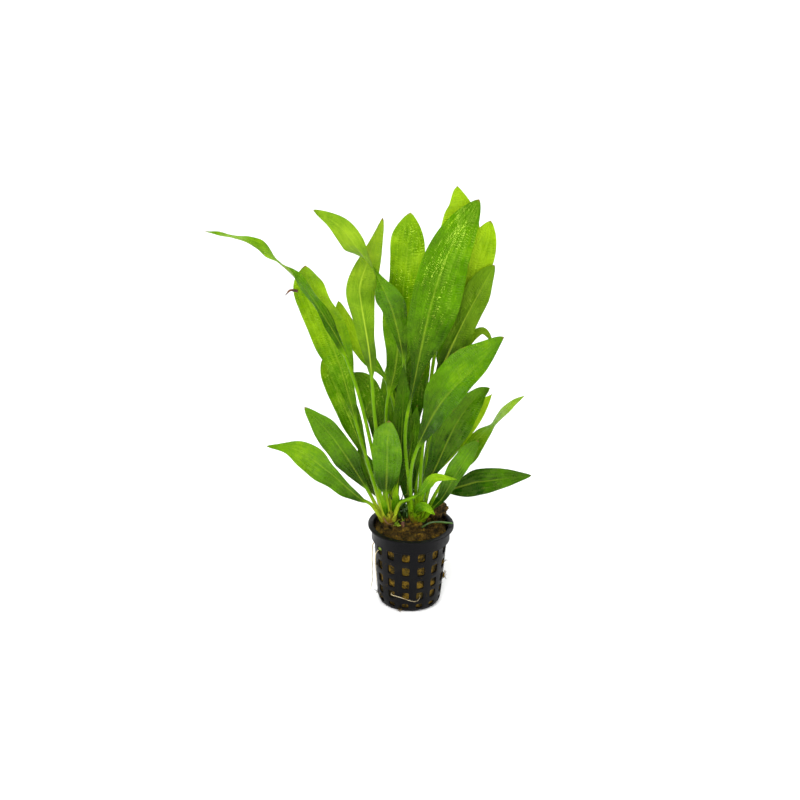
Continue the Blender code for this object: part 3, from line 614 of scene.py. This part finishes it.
def blade_colour(skin, share, shade, face, out, quilt, streaks):
    """Patchy greens with painted shade that darkens them towards the base, and a pale midrib."""
    patch = skin.noise(60.0, 5.0, 0.68)
    # the leaf's brightness from LOOKS: its own tone, with painted shade on the inner and low leaves and
    # painted backlight on the top ones
    bright = skin.sum("ADD", shade, skin.between(patch, 0.25, 0.75, -0.15, 0.15))
    bright = skin.sum("ADD", bright, skin.between(streaks, 0.3, 0.7, -0.08, 0.08))
    # painted shade: these two steps darken the blade towards its base and lighten it a little towards
    # its tip
    bright = skin.sum("ADD", bright, skin.between(share, 0.0, 0.8, -0.30, 0.08))
    bright = skin.sum("ADD", bright, skin.between(share, 0.0, 0.45, -0.17, 0.0))
    bright = skin.sum("ADD", bright, skin.between(quilt, 0.0, 0.9, 0.035, -0.035), clamp=True)
    above = skin.greens(bright, FACE_GREENS)
    below = skin.greens(bright, BACK_GREENS)
    colour = skin.mix(face, below, above)
    rib_edge = skin.between(share, 0.0, 0.5, 0.20, 0.07)
    midrib = skin.sum("SUBTRACT", 1.0, skin.sum("DIVIDE", out, rib_edge), clamp=True)
    midrib = skin.sum("MULTIPLY", midrib, skin.between(share, 0.1, 1.0, 0.85, 0.15))
    midrib = skin.sum("MULTIPLY", midrib, skin.between(face, 0.0, 1.0, 1.0, 0.35))
    return skin.mix(midrib, colour, RIB_PALE)


def stalk_colour(skin, along):
    """Pale and stained at the foot, greener higher up."""
    foot = skin.between(along, 0.06, 0.30, 1.0, 0.0)
    sideways = skin.node("ShaderNodeSeparateXYZ", Vector=skin.place()).outputs[0]
    foot = skin.sum("MULTIPLY", foot, skin.between(sideways, -0.009, -0.001, 1.0, PALE_RIGHT))
    stalk = skin.mix(foot, STALK_GREEN, STALK_PALE)
    stain = skin.between(skin.noise(170.0, 4.0), 0.36, 0.60)
    stain = skin.sum("MULTIPLY", stain, skin.between(along, 0.03, 0.13, 1.0, 0.0))
    stalk = skin.mix(stain, stalk, SHEATH_STAIN)
    return skin.mix(skin.between(skin.noise(120.0, 3.0), 0.5, 0.75, 0.0, 0.35), stalk,
                    FACE_GREENS[2])


def worn_places(skin, share, out, blade):
    """The very tip, and a few nibbled places of the margin."""
    worn = skin.between(skin.sum("ADD", share, skin.sum("MULTIPLY", skin.noise(160.0), 0.05)),
                        1.005, 1.03)
    nibbled = skin.sum("MULTIPLY", skin.between(out, 0.955, 0.995),
                       skin.between(skin.noise(55.0, 3.0), 0.60, 0.70))
    return skin.sum("MAXIMUM", worn, skin.sum("MULTIPLY", nibbled, blade))


def leaf_finish():
    """Glossy green above, paler below, with a pale stalk, quilting and fine veins."""
    skin = Finish("sword_leaf")
    growth = skin.node("ShaderNodeVertexColor")
    growth.layer_name = "growth"
    parts = skin.node("ShaderNodeSeparateColor", Color=growth.outputs["Color"])
    share, shade, face = parts.outputs[:3]
    blade_map = skin.tree.nodes.new("ShaderNodeUVMap")
    blade_map.uv_map = "blade"
    across, along = skin.node("ShaderNodeSeparateXYZ", Vector=blade_map.outputs["UV"]).outputs[:2]
    out = skin.sum("ABSOLUTE", skin.sum("SUBTRACT", skin.sum("MULTIPLY", across, 2.0), 1.0))

    blade = skin.between(share, 0.0, 0.10)
    quilt, puckers, streaks = blade_relief(skin, across, out, along)
    colour = blade_colour(skin, share, shade, face, out, quilt, streaks)
    colour = skin.mix(blade, stalk_colour(skin, along), colour)
    colour = skin.mix(worn_places(skin, share, out, blade), colour, EDGE_BROWN)
    skin.put(skin.shader.inputs["Base Color"], colour)

    gloss = skin.between(skin.noise(70.0, 2.0), 0.38, 0.62, 0.12, 0.36)
    gloss = skin.sum("ADD", gloss, skin.between(face, 0.0, 1.0, 0.2, 0.0))
    skin.put(skin.shader.inputs["Roughness"], gloss)
    skin.shader.inputs["Specular IOR Level"].default_value = LEAF_GLOSS
    skin.put(skin.shader.inputs["Specular Tint"], LEAF_SHINE)
    lumps = skin.bump(skin.noise(260.0, 3.0), 0.0008, 0.5)
    relief = skin.sum("ADD", skin.sum("ADD", puckers, quilt), skin.sum("MULTIPLY", streaks, 0.4))
    quilting = skin.bump(skin.sum("MULTIPLY", relief, blade), 0.0006, 0.55, lumps)
    skin.put(skin.shader.inputs["Normal"], quilting)
    return skin.material


def pot_finish():
    """Black moulded plastic, satin, with fine dust and a slight orange-peel."""
    skin = Finish("black_plastic")
    dust = skin.between(skin.noise(60.0, 5.0, 0.6), 0.55, 0.8)
    skin.put(skin.shader.inputs["Base Color"], skin.mix(dust, POT_BLACK, POT_DUST))
    skin.put(skin.shader.inputs["Roughness"],
             skin.between(skin.noise(90.0, 3.0), 0.3, 0.7, 0.34, 0.5))
    skin.put(skin.shader.inputs["Normal"], skin.bump(skin.noise(420.0, 2.0), 0.0002, 0.3))
    skin.shader.inputs["Specular IOR Level"].default_value = POT_GLOSS
    return skin.material


def wool_finish(name, dark, light, green):
    """Damp stone wool: mottled fibres with algae and silt on them."""
    skin = Finish(name, 0.92)
    patch = skin.between(skin.noise(170.0, 6.0, 0.7), 0.42, 0.60)
    colour = skin.mix(patch, dark, light)
    algae = skin.between(skin.noise(70.0, 4.0, 0.6), 0.5, 0.7, 0.0, 0.8)
    skin.put(skin.shader.inputs["Base Color"], skin.mix(algae, colour, green))
    skin.put(skin.shader.inputs["Normal"], skin.bump(skin.noise(700.0, 6.0, 0.7), 0.0015, 0.9))
    skin.shader.inputs["Specular IOR Level"].default_value = WOOL_GLOSS
    return skin.material


def strand_finish(name, dark, light, roughness):
    """A root or a stem: two tones run together along it."""
    skin = Finish(name)
    patch = skin.between(skin.noise(220.0, 4.0), 0.35, 0.65)
    skin.put(skin.shader.inputs["Base Color"], skin.mix(patch, dark, light))
    skin.put(skin.shader.inputs["Roughness"],
             skin.between(skin.noise(150.0), 0.3, 0.7, roughness - 0.1, roughness + 0.1))
    skin.put(skin.shader.inputs["Normal"], skin.bump(skin.noise(900.0), 0.0003, 0.5))
    return skin.material


# ---- leaves ----------------------------------------------------------------------------
def between_knots(a, b, c, d, t):
    """A smooth curve's value from b, where t is 0, to c, where t is 1."""
    return 0.5 * (2 * b + (c - a) * t + (2 * a - 5 * b + 4 * c - d) * t * t
                  + (3 * b - a - 3 * c + d) * t ** 3)


def smooth_path(points):
    """Close points on a smooth curve through the points, and their distances along it."""
    knots = [Vector(point) for point in points]
    knots = [2 * knots[0] - knots[1]] + knots + [2 * knots[-1] - knots[-2]]
    dense = []
    for a, b, c, d in zip(knots, knots[1:], knots[2:], knots[3:]):
        dense += [between_knots(a, b, c, d, k / PATH_STEPS) for k in range(PATH_STEPS)]
    dense.append(knots[-2])
    walk = np.cumsum([0.0] + [(q - p).length for p, q in zip(dense, dense[1:])])
    return np.array(dense), walk


def along_path(dense, walk, shares):
    """The places at these shares of a path's length."""
    marks = np.asarray(shares) * walk[-1]
    return np.stack([np.interp(marks, walk, dense[:, axis]) for axis in range(3)], axis=1)


def blade_width(share, outline):
    """Half width at a share of the blade's length, as a part of the widest."""
    widest, below, above = outline
    lower = 1 - (1 - np.minimum(share, widest) / widest) ** below
    upper = 1 - (np.maximum(share - widest, 0) / (1 - widest)) ** above
    return np.where(share < widest, lower, upper)


def smooth_row(values, share):
    """A smooth curve through evenly spaced values, read at shares of its length."""
    row = np.array([2 * values[0] - values[1], *values, 2 * values[-1] - values[-2]])
    place = share * (len(values) - 1)
    k = np.minimum(place.astype(int), len(values) - 2)
    return between_knots(row[k], row[k + 1], row[k + 2], row[k + 3], place - k)


def half_widths(name, share, width, outline):
    """How far the blade reaches to the left and to the right of its midrib."""
    if name not in SIDES:
        even = width / 2 * blade_width(share, outline)
        return even, even
    sides = []
    for widths in SIDES[name]:
        full = np.array([0.0, *widths, 0.0]) ** ROUND_TIP
        sides.append(np.maximum(smooth_row(full, share), 0.0) ** (1 / ROUND_TIP))
    return sides


def leaf_frames(line, shares, stalk, turns):
    """For each ring: the way across the blade and the way its face looks."""
    across, looks = [], []
    last = len(line) - 1
    for k in range(len(line)):
        along = Vector(line[min(k + 2, last)] - line[max(k - 2, 0)]).normalized()
        if k < 3:
            along = (along + Vector((0, 0, 1))).normalized()
        share = max(0.0, (shares[k] - stalk) / (1 - stalk))
        turn = np.interp(share, np.linspace(0, 1, len(turns)), turns)
        look = (FRONT - FRONT.dot(along) * along).normalized()
        look = Matrix.Rotation(math.radians(turn), 3, along) @ look
        looks.append(look)
        across.append(along.cross(look))
    return np.array(across), np.array(looks)


def blade_rise(name, u, half, share, place, fold):
    """How far the blade's middle surface leaves a plane: its fold, waves, puffs and dents."""
    _, wave, waves, roll = LOOKS[name]
    far = np.abs(u)
    phase = own_number(name, 6.28)
    beat = 2 * math.pi * waves * share + phase + np.where(u > 0, 1.9, 0.0)
    puff = np.abs(np.sin(math.pi * far / RIB_SPACING))
    dents = (np.sin(u * half * 0.9 + phase) * np.sin(place * 0.55 + 2 * phase)
             + np.sin(u * half * 0.5 - place * 0.31))
    return (fold * half * far ** 1.3 + roll * half * far ** 4
            + wave * np.sin(math.pi * share) ** 0.6 * far ** 2.2 * np.sin(beat)
            + PUFF * puff * np.sin(math.pi * share) ** 0.5 + DENTS * dents * far ** 0.5)


def clasp(seat, reach, across, looks):
    """Turns a stalk's base so that it faces away from its crown and clasps it."""
    outward = seat.normalized() if seat.length else Vector((0, -1, 0))
    swing = np.clip(reach * 2, 0, 1)
    across = across * (1 - swing) + np.array(Vector((0, 0, 1)).cross(-outward)) * swing
    looks = looks * (1 - swing) + np.array(-outward) * swing
    return unit(across), unit(looks)


def leaf_points(name, plan):
    """The leaf's points, a row for each ring, and what its material reads there."""
    (crown, ring, around), points, stalk, width, outline, turns, fold = plan
    seat = Vector((*on_circle(ring, around), 0))
    centre = CROWNS[crown]
    foot = (centre[0] + seat.x * FOOT_IN, centre[1] + seat.y * FOOT_IN, STALK_FOOT)
    dense, walk = smooth_path((foot, *points))
    length = walk[-1]
    low = np.linspace(0, stalk, max(6, round(stalk * length / STALK_STEP)), endpoint=False)
    high = np.linspace(stalk, 1, max(12, round((1 - stalk) * length / BLADE_STEP)))
    shares = np.concatenate([low, high])
    line = along_path(dense, walk, shares)
    across, looks = leaf_frames(line, shares, stalk, turns)

    share = np.maximum(0, (shares - stalk) / (1 - stalk))[:, None]
    place = shares[:, None] * length
    neck = STALK_RADIUS + (STALK_NECK - STALK_RADIUS) * np.minimum(1, shares / stalk)[:, None]
    least = neck * (1 - share) ** 1.5 + TIP_HALF
    left, right = [np.maximum(least, side) for side in half_widths(name, share, width, outline)]
    flat = np.minimum(1, share / NECK_SHARE)
    flat = flat * flat * (3 - 2 * flat)

    # once round the section: across the face, where t goes from 0 to 1, and back underneath
    step = np.linspace(0, 2, LEAF_AROUND + 1)[None, :]
    upper = step <= 1
    t = np.where(upper, step, 2 - step)
    u = (-np.cos(math.pi * t)) * (1 - flat) + (2 * t - 1) * flat
    side = np.where(upper, 1.0, -1.0)
    half = np.where(u < 0, left, right)
    rise = blade_rise(name, u, half, share, place, fold)
    middle = np.exp(-(u * half / (1.1 * neck)) ** 2)
    thin = MARGIN_THICK + (BLADE_THICK - MARGIN_THICK) * (1 - np.abs(u) ** 3)
    rib = middle * neck * (1 - share) ** 0.8
    face = np.where(upper, -GROOVE * middle * (1 - share) + thin / 2, -thin / 2 - rib)
    lift = (rise + face) * flat + side * neck * np.sin(math.pi * t) * (1 - flat)
    lift = np.where(np.isclose(t, 0) | np.isclose(t, 1), rise * flat, lift)

    reach = np.clip(1 - place / SHEATH_LENGTH, 0, 1) ** 2
    across, looks = clasp(seat, reach, across, looks)
    out = u * half * (1 + SHEATH_WIDE * reach)
    lift = lift * (1 + SHEATH_DEEP * reach) + reach * np.abs(u) ** 2 * SHEATH_CUP
    places = line[:, None, :] + out[..., None] * across[:, None, :] + lift[..., None] * looks[:, None, :]

    uv = np.stack(np.broadcast_arrays((u + 1) / 2, place * 0.01), axis=-1)
    growth = np.stack(np.broadcast_arrays(share, LOOKS[name][0], upper * 1.0, np.ones(out.shape)),
                      axis=-1)
    return places, uv, growth


def make_leaf(name, plan, look):
    """A flat grid rolled up into a tube, round at the stalk and pressed thin in the blade."""
    places, uv, growth = leaf_points(name, plan)
    rings, around = places.shape[:2]
    deselect()
    bpy.ops.mesh.primitive_grid_add(x_subdivisions=around - 1, y_subdivisions=rings - 1, size=1)
    leaf = named(name + "_leaf")
    mesh = leaf.data
    set_points(leaf, places.reshape(-1, 3) * MM)
    corners = np.empty(len(mesh.loops), dtype=np.int32)
    mesh.loops.foreach_get("vertex_index", corners)
    mesh.uv_layers[0].name = "blade"
    mesh.uv_layers[0].uv.foreach_set("vector", uv.reshape(-1, 2)[corners].ravel())
    paint = mesh.color_attributes.new("growth", "FLOAT_COLOR", "CORNER")
    values = growth.reshape(-1, 4)[corners]
    face_side = values[:, 2].reshape(-1, 4).mean(axis=1) > 0.99
    values[:, 2] = np.repeat(face_side, 4) * 1.0
    paint.data.foreach_set("color", values.ravel())
    close_up()
    bpy.ops.object.shade_smooth_by_angle(angle=math.radians(60))
    finish_piece(leaf, look, "leaf", name)


# ---- the pot ---------------------------------------------------------------------------
def select_only(mesh, kind, wanted):
    """In edit mode: selects the vertices, edges or faces that the test wants."""
    bpy.ops.mesh.select_all(action="DESELECT")
    bpy.ops.mesh.select_mode(type=kind)
    bpy.ops.object.mode_set(mode="OBJECT")
    items = {"VERT": mesh.vertices, "EDGE": mesh.edges, "FACE": mesh.polygons}[kind]
    for item in items:
        item.select = wanted(item)
    bpy.ops.object.mode_set(mode="EDIT")


def hole_share(x, y):
    """How far round a column of the pot a point is, with the hole from 0 to its share."""
    turn = math.degrees(math.atan2(y, x)) - FIRST_HOLE
    return turn % HOLE_PITCH / HOLE_PITCH


def in_pierced_band(height, radius):
    """True between the two heights of a pierced band, or in the pierced part of the floor."""
    for band in POT_HOLE_BANDS:
        (inner, low), (outer, high) = POT_PROFILE[band], POT_PROFILE[band + 1]
        if high > low and low < height < high:
            return True
        if high == low == 0 and abs(height) < 0.01 and inner < radius < outer:
            return True
    return False


def draw_up(pot):
    """Draws the disc's edge out along the pot's profile, ring by ring."""
    bpy.ops.object.mode_set(mode="EDIT")
    bpy.ops.mesh.select_mode(type="EDGE")
    bpy.ops.mesh.select_all(action="SELECT")
    for (radius, height), (wider, higher) in zip(POT_PROFILE, POT_PROFILE[1:]):
        bpy.ops.mesh.extrude_edges_move(
            TRANSFORM_OT_translate={"value": (0, 0, (higher - height) * MM)})
        grow = wider / radius
        bpy.ops.transform.resize(value=(grow, grow, 1), center_override=(0, 0, 0))
        if radius == POT_FLOOR_DISC:
            select_only(pot.data, "EDGE", lambda edge: all(
                math.hypot(*pot.data.vertices[v].co.xy) > (wider - 1) * MM for v in edge.vertices))
    bpy.ops.object.mode_set(mode="OBJECT")


def pierce(pot):
    """Takes out the faces of the holes, and turns the rest outward."""
    def pierced(face):
        x, y, z = face.center / MM
        return in_pierced_band(z, math.hypot(x, y)) and hole_share(x, y) < HOLE_SHARE

    bpy.ops.object.mode_set(mode="EDIT")
    select_only(pot.data, "FACE", pierced)
    bpy.ops.mesh.delete(type="FACE")
    bpy.ops.mesh.select_mode(type="VERT")
    bpy.ops.mesh.select_all(action="SELECT")
    bpy.ops.mesh.normals_make_consistent(inside=False)
    bpy.ops.object.mode_set(mode="OBJECT")


def round_hole_corners(pot):
    """Bevels the four corners of each hole flat in the wall."""
    mesh = pot.data
    faces_at = [0] * len(mesh.vertices)
    for face in mesh.polygons:
        for v in face.vertices:
            faces_at[v] += 1
    below_lip = (POT_PROFILE[-1][1] - 1) * MM
    bpy.ops.object.mode_set(mode="EDIT")
    select_only(mesh, "VERT", lambda vert: faces_at[vert.index] == 3 and vert.co.z < below_lip)
    bpy.ops.mesh.bevel(offset=HOLE_CORNER * MM, affect="VERTICES", segments=3)
    bpy.ops.object.mode_set(mode="OBJECT")


def thicken(pot):
    """Gives the shell its wall, inwards, and rounds every sharp edge."""
    floor = min(pot.data.polygons, key=lambda face: face.center.length)
    if floor.normal.z > 0:
        pot.data.flip_normals()
    wall = pot.modifiers.new("wall", "SOLIDIFY")
    wall.thickness = POT_WALL * MM
    wall.offset = -1.0
    wall.use_even_offset = True
    edge = pot.modifiers.new("edges", "BEVEL")
    edge.width = POT_EDGE * MM
    edge.segments = 2
    edge.limit_method = "ANGLE"
    edge.angle_limit = math.radians(50)
    edge.harden_normals = False
    apply_modifiers(pot)


def make_pot(look):
    """A disc drawn up ring by ring, pierced, then given its wall and rounded edges."""
    deselect()
    bpy.ops.mesh.primitive_circle_add(vertices=POT_COLUMNS * POT_SPLIT, radius=POT_FLOOR_DISC * MM,
                                      fill_type="NGON")
    bpy.context.object.rotation_euler.z = math.radians(FIRST_HOLE)
    pot = named("pot_shell")
    draw_up(pot)
    pierce(pot)
    round_hole_corners(pot)
    thicken(pot)
    bpy.ops.object.shade_smooth_by_angle(angle=math.radians(35))
    finish_piece(pot, look, "black_plastic", "pot")


# ---- the wool --------------------------------------------------------------------------
def make_wool(look):
    """The plug: a turned shape roughened all over, lumpier on its top."""
    deselect()
    bpy.ops.mesh.primitive_grid_add(x_subdivisions=WOOL_COLUMNS, y_subdivisions=WOOL_ROWS, size=1)
    wool = named("wool_body")
    radii = [radius for radius, _ in WOOL_PROFILE]
    heights = [height for _, height in WOOL_PROFILE]
    walk = np.cumsum([0] + [math.dist(a, b) for a, b in zip(WOOL_PROFILE, WOOL_PROFILE[1:])])
    places = []
    for mark in np.linspace(0, walk[-1], WOOL_ROWS + 1):
        radius = float(np.interp(mark, walk, radii))
        height = float(np.interp(mark, walk, heights))
        for column in range(WOOL_COLUMNS + 1):
            turn = 2 * math.pi * (column % WOOL_COLUMNS) / WOOL_COLUMNS
            point = Vector((radius * math.cos(turn), radius * math.sin(turn), height))
            places.append(roughened(point))
    set_points(wool, np.array(places) * MM)
    close_up()
    bpy.ops.object.shade_smooth()
    finish_piece(wool, look, "stone_wool", "wool_plug")


def roughened(point):
    """The plug's surface: pitted sides, and a top of lumps and hollows."""
    side = noise.fractal(point * 0.30, 1.0, 2.0, 4)
    fine = noise.fractal(point * 0.9, 1.0, 2.0, 3)
    out = Vector((point.x, point.y, 0))
    reach = out.length
    if reach > 0.01:
        out.normalize()
    if point.z > 48:
        rim = min(1.0, max(0.0, (WOOL_RIM - reach) / RIM_FADE))
        heap = sum(HEAP_HEIGHT * math.exp(-(math.dist(point.xy, centre) / HEAP_REACH) ** 2)
                   for centre in CROWNS.values())
        return (point + Vector((0, 0, 1)) * (heap + 2.4 * side + 1.1 * fine) * rim
                - out * 0.5 * abs(fine))
    if point.z < 2:
        return point
    return point + out * (0.35 * side + 0.25 * fine - 0.1)


def make_clump(look):
    """A dark lump of wool at the back of the pot."""
    def push(point):
        return 1.5 * noise.fractal(point * 0.35, 1.0, 2.0, 4) + 0.5 * noise.noise(point * 1.4) - 0.6

    clump = lumpy_ball("wool_lump", CLUMP_SIZE, CLUMP_PLACE, 5, push, CLUMP_TURN)
    finish_piece(clump, look, "stone_wool", "wool_clump")


# ---- crowns, strands and fibres --------------------------------------------------------
def make_crown(side, centre, look):
    """A lumpy rootstock under the stalks."""
    def push(point):
        return 1.1 * noise.fractal(point * 0.28, 1.0, 2.0, 3) - 0.4

    place = (*centre, CROWN_TOP - ROOTSTOCK_SINK)
    crown = lumpy_ball("rootstock_" + side, ROOTSTOCK_SIZE, place, 5, push)
    finish_piece(crown, look, "crown", "crown_" + side)


def make_stump(look):
    """The broken brown foot of an old stalk."""
    def push(point):
        return 0.9 * noise.fractal(point * 0.7, 1.0, 2.0, 3) - 0.2

    stump = lumpy_ball("stump", STUMP_SIZE, STUMP_PLACE, 4, push)
    finish_piece(stump, look, "dead_stem", "old_stump")


def wander(place):
    """A soft push to one side and another, the same for a place each time."""
    return Vector([noise.noise(Vector(place) * 0.25 + Vector((shift, 0, 0)))
                   for shift in WANDER_SHIFTS])


def make_strand(name, radius, points, look, slot, taper, *nodes):
    """A root or a thin stem: a tube that wanders a little and thins to its end."""
    dense, walk = smooth_path(points)
    count = max(8, round(walk[-1] / STRAND_STEP))
    line = along_path(dense, walk, np.linspace(0, 1, count))
    curve = bpy.data.curves.new(name + "_strand", "CURVE")
    curve.dimensions = "3D"
    curve.bevel_depth = radius * MM
    curve.bevel_resolution = 3
    curve.use_fill_caps = True
    spline = curve.splines.new("POLY")
    spline.points.add(count - 1)
    for k, place in enumerate(line):
        spline.points[k].co = (*((Vector(place) + wander(place) * radius * 0.6) * MM), 1.0)
        spline.points[k].radius = 1 - taper * (k / (count - 1)) ** 2
    strand = linked(name + "_strand", curve)
    active(strand)
    bpy.ops.object.convert(target="MESH")
    bpy.ops.object.shade_smooth()
    finish_piece(strand, look, slot, *nodes)


def fibre_mesh(starts, aims, lengths, radius, seed):
    """Vertices and faces of many short curved fibres, three-sided and pointed."""
    rng = np.random.default_rng(seed)
    count = len(starts)
    share = np.linspace(0, 1, FIBRE_SEGMENTS + 1)[None, :, None]
    bend = rng.normal(size=(count, 1, 3)) * lengths[:, None, None] * 0.35
    curl = rng.normal(size=(count, 1, 3)) * lengths[:, None, None] * 0.12
    line = (starts[:, None, :] + aims[:, None, :] * lengths[:, None, None] * share
            + bend * share ** 2 + curl * np.sin(share * 6.0))
    along = unit(aims)
    helper = np.where(np.abs(along[:, 2:3]) < 0.8, [[0, 0, 1.0]], [[1.0, 0, 0]])
    across = unit(np.cross(along, helper))
    other = np.cross(along, across)
    thick = radius * (1 - FIBRE_TAPER * share)
    rings = []
    for k in range(3):
        turn = 2 * math.pi * k / 3
        side = across * math.cos(turn) + other * math.sin(turn)
        rings.append(line + side[:, None, :] * thick)
    points = np.stack(rings, axis=2).reshape(-1, 3)
    faces = []
    per = (FIBRE_SEGMENTS + 1) * 3
    for fibre in range(count):
        base = fibre * per
        for s in range(FIBRE_SEGMENTS):
            for k in range(3):
                a = base + s * 3 + k
                b = base + s * 3 + (k + 1) % 3
                faces.append((a, b, b + 3, a + 3))
        faces.append((base + 2, base + 1, base))
        faces.append((base + per - 3, base + per - 2, base + per - 1))
    return points, faces


def make_fibres(name, starts, aims, lengths, radius, seed, look, slot):
    """Many fibres in one piece, none of them below the floor."""
    points, faces = fibre_mesh(starts, aims, lengths, radius, seed)
    points[:, 2] = np.maximum(points[:, 2], radius)
    mesh = bpy.data.meshes.new(name)
    mesh.from_pydata([tuple(point) for point in points * MM], [], faces)
    piece = linked(name, mesh)
    active(piece)
    bpy.ops.object.shade_smooth()
    finish_piece(piece, look, slot)


def top_fibres(look):
    """The matted felt on top of the plug."""
    rng = np.random.default_rng(5)
    radius = FELT_REACH * np.sqrt(rng.random(FELT_FIBRES))
    turn = rng.random(FELT_FIBRES) * 2 * math.pi
    starts = np.stack([radius * np.cos(turn), radius * np.sin(turn),
                       WOOL_TOP - 0.4 + rng.random(FELT_FIBRES) * 1.6], axis=1)
    aims = np.stack([rng.normal(size=FELT_FIBRES), rng.normal(size=FELT_FIBRES),
                     0.25 + 0.3 * rng.normal(size=FELT_FIBRES)], axis=1)
    lengths = 1.5 + 3.0 * rng.random(FELT_FIBRES)
    make_fibres("wool_felt", starts, unit(aims), lengths, FELT_THICK, 6, look, "stone_wool")


def side_fibres(look):
    """Wisps of wool in the holes of the wall."""
    rng = np.random.default_rng(8)
    turn = rng.random(WISP_FIBRES) * 2 * math.pi
    lowest, highest = WISP_HEIGHTS
    height = lowest + rng.random(WISP_FIBRES) * (highest - lowest)
    radius = np.interp(height, [2.4, 8, 43], [18.0, 19.4, 21.7])
    starts = np.stack([radius * np.cos(turn), radius * np.sin(turn), height], axis=1)
    aims = np.stack([-np.sin(turn) * rng.normal(size=WISP_FIBRES) + np.cos(turn) * 0.12,
                     np.cos(turn) * rng.normal(size=WISP_FIBRES) + np.sin(turn) * 0.12,
                     rng.normal(size=WISP_FIBRES)], axis=1)
    lengths = 1.5 + 2.5 * rng.random(WISP_FIBRES)
    make_fibres("wool_wisps", starts, unit(aims), lengths, WISP_THICK, 9, look, "stone_wool")


def tufts(look):
    """Wisps of wool that stick out through the wall and under the rim."""
    rng = np.random.default_rng(12)
    places = np.repeat(np.array(TUFTS), TUFT_FIBRES, axis=0)
    starts = places + rng.normal(size=places.shape) * 0.7
    aims = rng.normal(size=places.shape)
    aims[:, :2] += 1.2 * unit(places[:, :2])
    lengths = 0.5 + 0.9 * rng.random(len(places))
    make_fibres("wool_tufts", starts, unit(aims), lengths, TUFT_THICK, 13, look, "stone_wool")


def buds(look):
    """Small green shoots between the crowns and a green scrap in a hole."""
    rng = np.random.default_rng(21)
    places = np.repeat(np.array(BUDS), BUD_SHOOTS, axis=0)
    starts = places + rng.normal(size=places.shape) * 0.5
    aims = rng.normal(size=places.shape) * 0.6 + np.array([0, -0.4, 1.0])
    lengths = 1.2 + 1.8 * rng.random(len(places))
    make_fibres("green_buds", starts, unit(aims), lengths, BUD_THICK, 22, look, "leaf")


def young_blades(look):
    """Narrow shoots that fill the space between the crowns; the dark stem greens they get are painted
    shade for the plant's shaded middle.
    """
    rng = np.random.default_rng(31)
    starts = np.array([SHOOTS_MIDDLE] * SHOOTS) + rng.normal(size=(SHOOTS, 3)) * (4.0, 3.0, 0.3)
    aims = rng.normal(size=(SHOOTS, 3)) * (0.22, 0.18, 0.0) + np.array([0.0, 0.0, 1.0])
    lengths = 12.0 + 10.0 * rng.random(SHOOTS)
    make_fibres("young_blades", starts, aims, lengths, SHOOT_THICK, 32, look, "leaf")


# ---- the studio ------------------------------------------------------------------------
def make_floor():
    """A plain pale floor."""
    deselect()
    bpy.ops.mesh.primitive_plane_add(size=FLOOR_SIZE)
    floor = named("floor")
    look = Finish("pale_floor", 0.9)
    look.put(look.shader.inputs["Base Color"], FLOOR_WHITE)
    floor.data.materials.append(look.material)
    floor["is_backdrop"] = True


def add_softbox(name, place, aim, size, power):
    """A soft rectangular light that looks at its aim."""
    light = bpy.data.lights.new(name, "AREA")
    light.shape = "RECTANGLE"
    light.size, light.size_y = size
    light.energy = power
    box = linked(name, light)
    box.location = place
    box.rotation_euler = (Vector(aim) - Vector(place)).to_track_quat("-Z", "Y").to_euler()


def make_studio():
    """Soft light from the front left and above, a fill at the right, a lit floor and room."""
    make_floor()
    world = bpy.data.worlds.new("pale_room")
    world.use_nodes = True
    world.node_tree.nodes["Background"].inputs["Color"].default_value = (1, 1, 1, 1)
    world.node_tree.nodes["Background"].inputs["Strength"].default_value = ROOM_LIGHT
    bpy.context.scene.world = world
    for name, place, aim, size, power in SOFTBOXES:
        add_softbox(name, place, aim, size, power)


def make_camera():
    """A long lens that looks down at the plant from the front."""
    lens = bpy.data.cameras.new("camera")
    lens.lens = CAMERA_LENS
    lens.sensor_width = CAMERA_SENSOR
    lens.clip_start = 0.05
    camera = linked("camera", lens)
    camera.location = Vector(CAMERA_PLACE) * MM
    turn = (Matrix.Rotation(math.radians(CAMERA_TILT), 4, "X")
            @ Matrix.Rotation(math.radians(CAMERA_ROLL), 4, "Z"))
    camera.rotation_euler = turn.to_euler()
    bpy.context.scene.camera = camera


def main():
    """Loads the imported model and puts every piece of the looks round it."""
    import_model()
    cad_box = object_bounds()
    bpy.context.scene.view_settings.view_transform = "Standard"
    make_camera()
    make_studio()

    make_pot(pot_finish())
    wool = wool_finish("stone_wool", WOOL_DARK, WOOL_LIGHT, WOOL_OLIVE)
    felt = wool_finish("wool_felt", FELT_DARK, FELT_LIGHT, WOOL_OLIVE)
    make_wool(wool)
    make_clump(felt)
    top_fibres(felt)
    side_fibres(wool)
    tufts(wool)
    buds(strand_finish("young_shoot", STALK_GREEN, STALK_PALE, 0.4))
    # the shoots between the crowns take the dark stem greens as painted shade
    young_blades(strand_finish("shaded_shoot", STEM_DARK, STEM_GREEN, 0.4))
    crown = strand_finish("rootstock", CROWN_BROWN, CROWN_PALE, 0.5)
    for side, centre in CROWNS.items():
        make_crown(side, centre, crown)
    leaf = leaf_finish()
    for name, plan in LEAVES.items():
        make_leaf(name, plan, leaf)
    stem = strand_finish("green_stem", STEM_DARK, STEM_GREEN, 0.4)
    root = strand_finish("cream_root", ROOT_TAN, ROOT_CREAM, 0.5)
    for name, (radius, points) in STRANDS.items():
        if name.startswith("root"):
            make_strand(name, radius, points, root, "root", 0.7, name)
        else:
            make_strand(name, radius, points, stem, "leaf", 0.3, name)
    dead = strand_finish("dead_stem", STUMP_DARK, STUMP_BROWN, 0.8)
    make_stump(dead)
    for name, (radius, points) in WITHERED.items():
        make_strand(name, radius, points, dead, "dead_stem", 0.8)

    boxes = {"cad": cad_box, "visual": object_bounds()}
    boxes = {name: [list(map(float, corner)) for corner in box] for name, box in boxes.items()}


main()
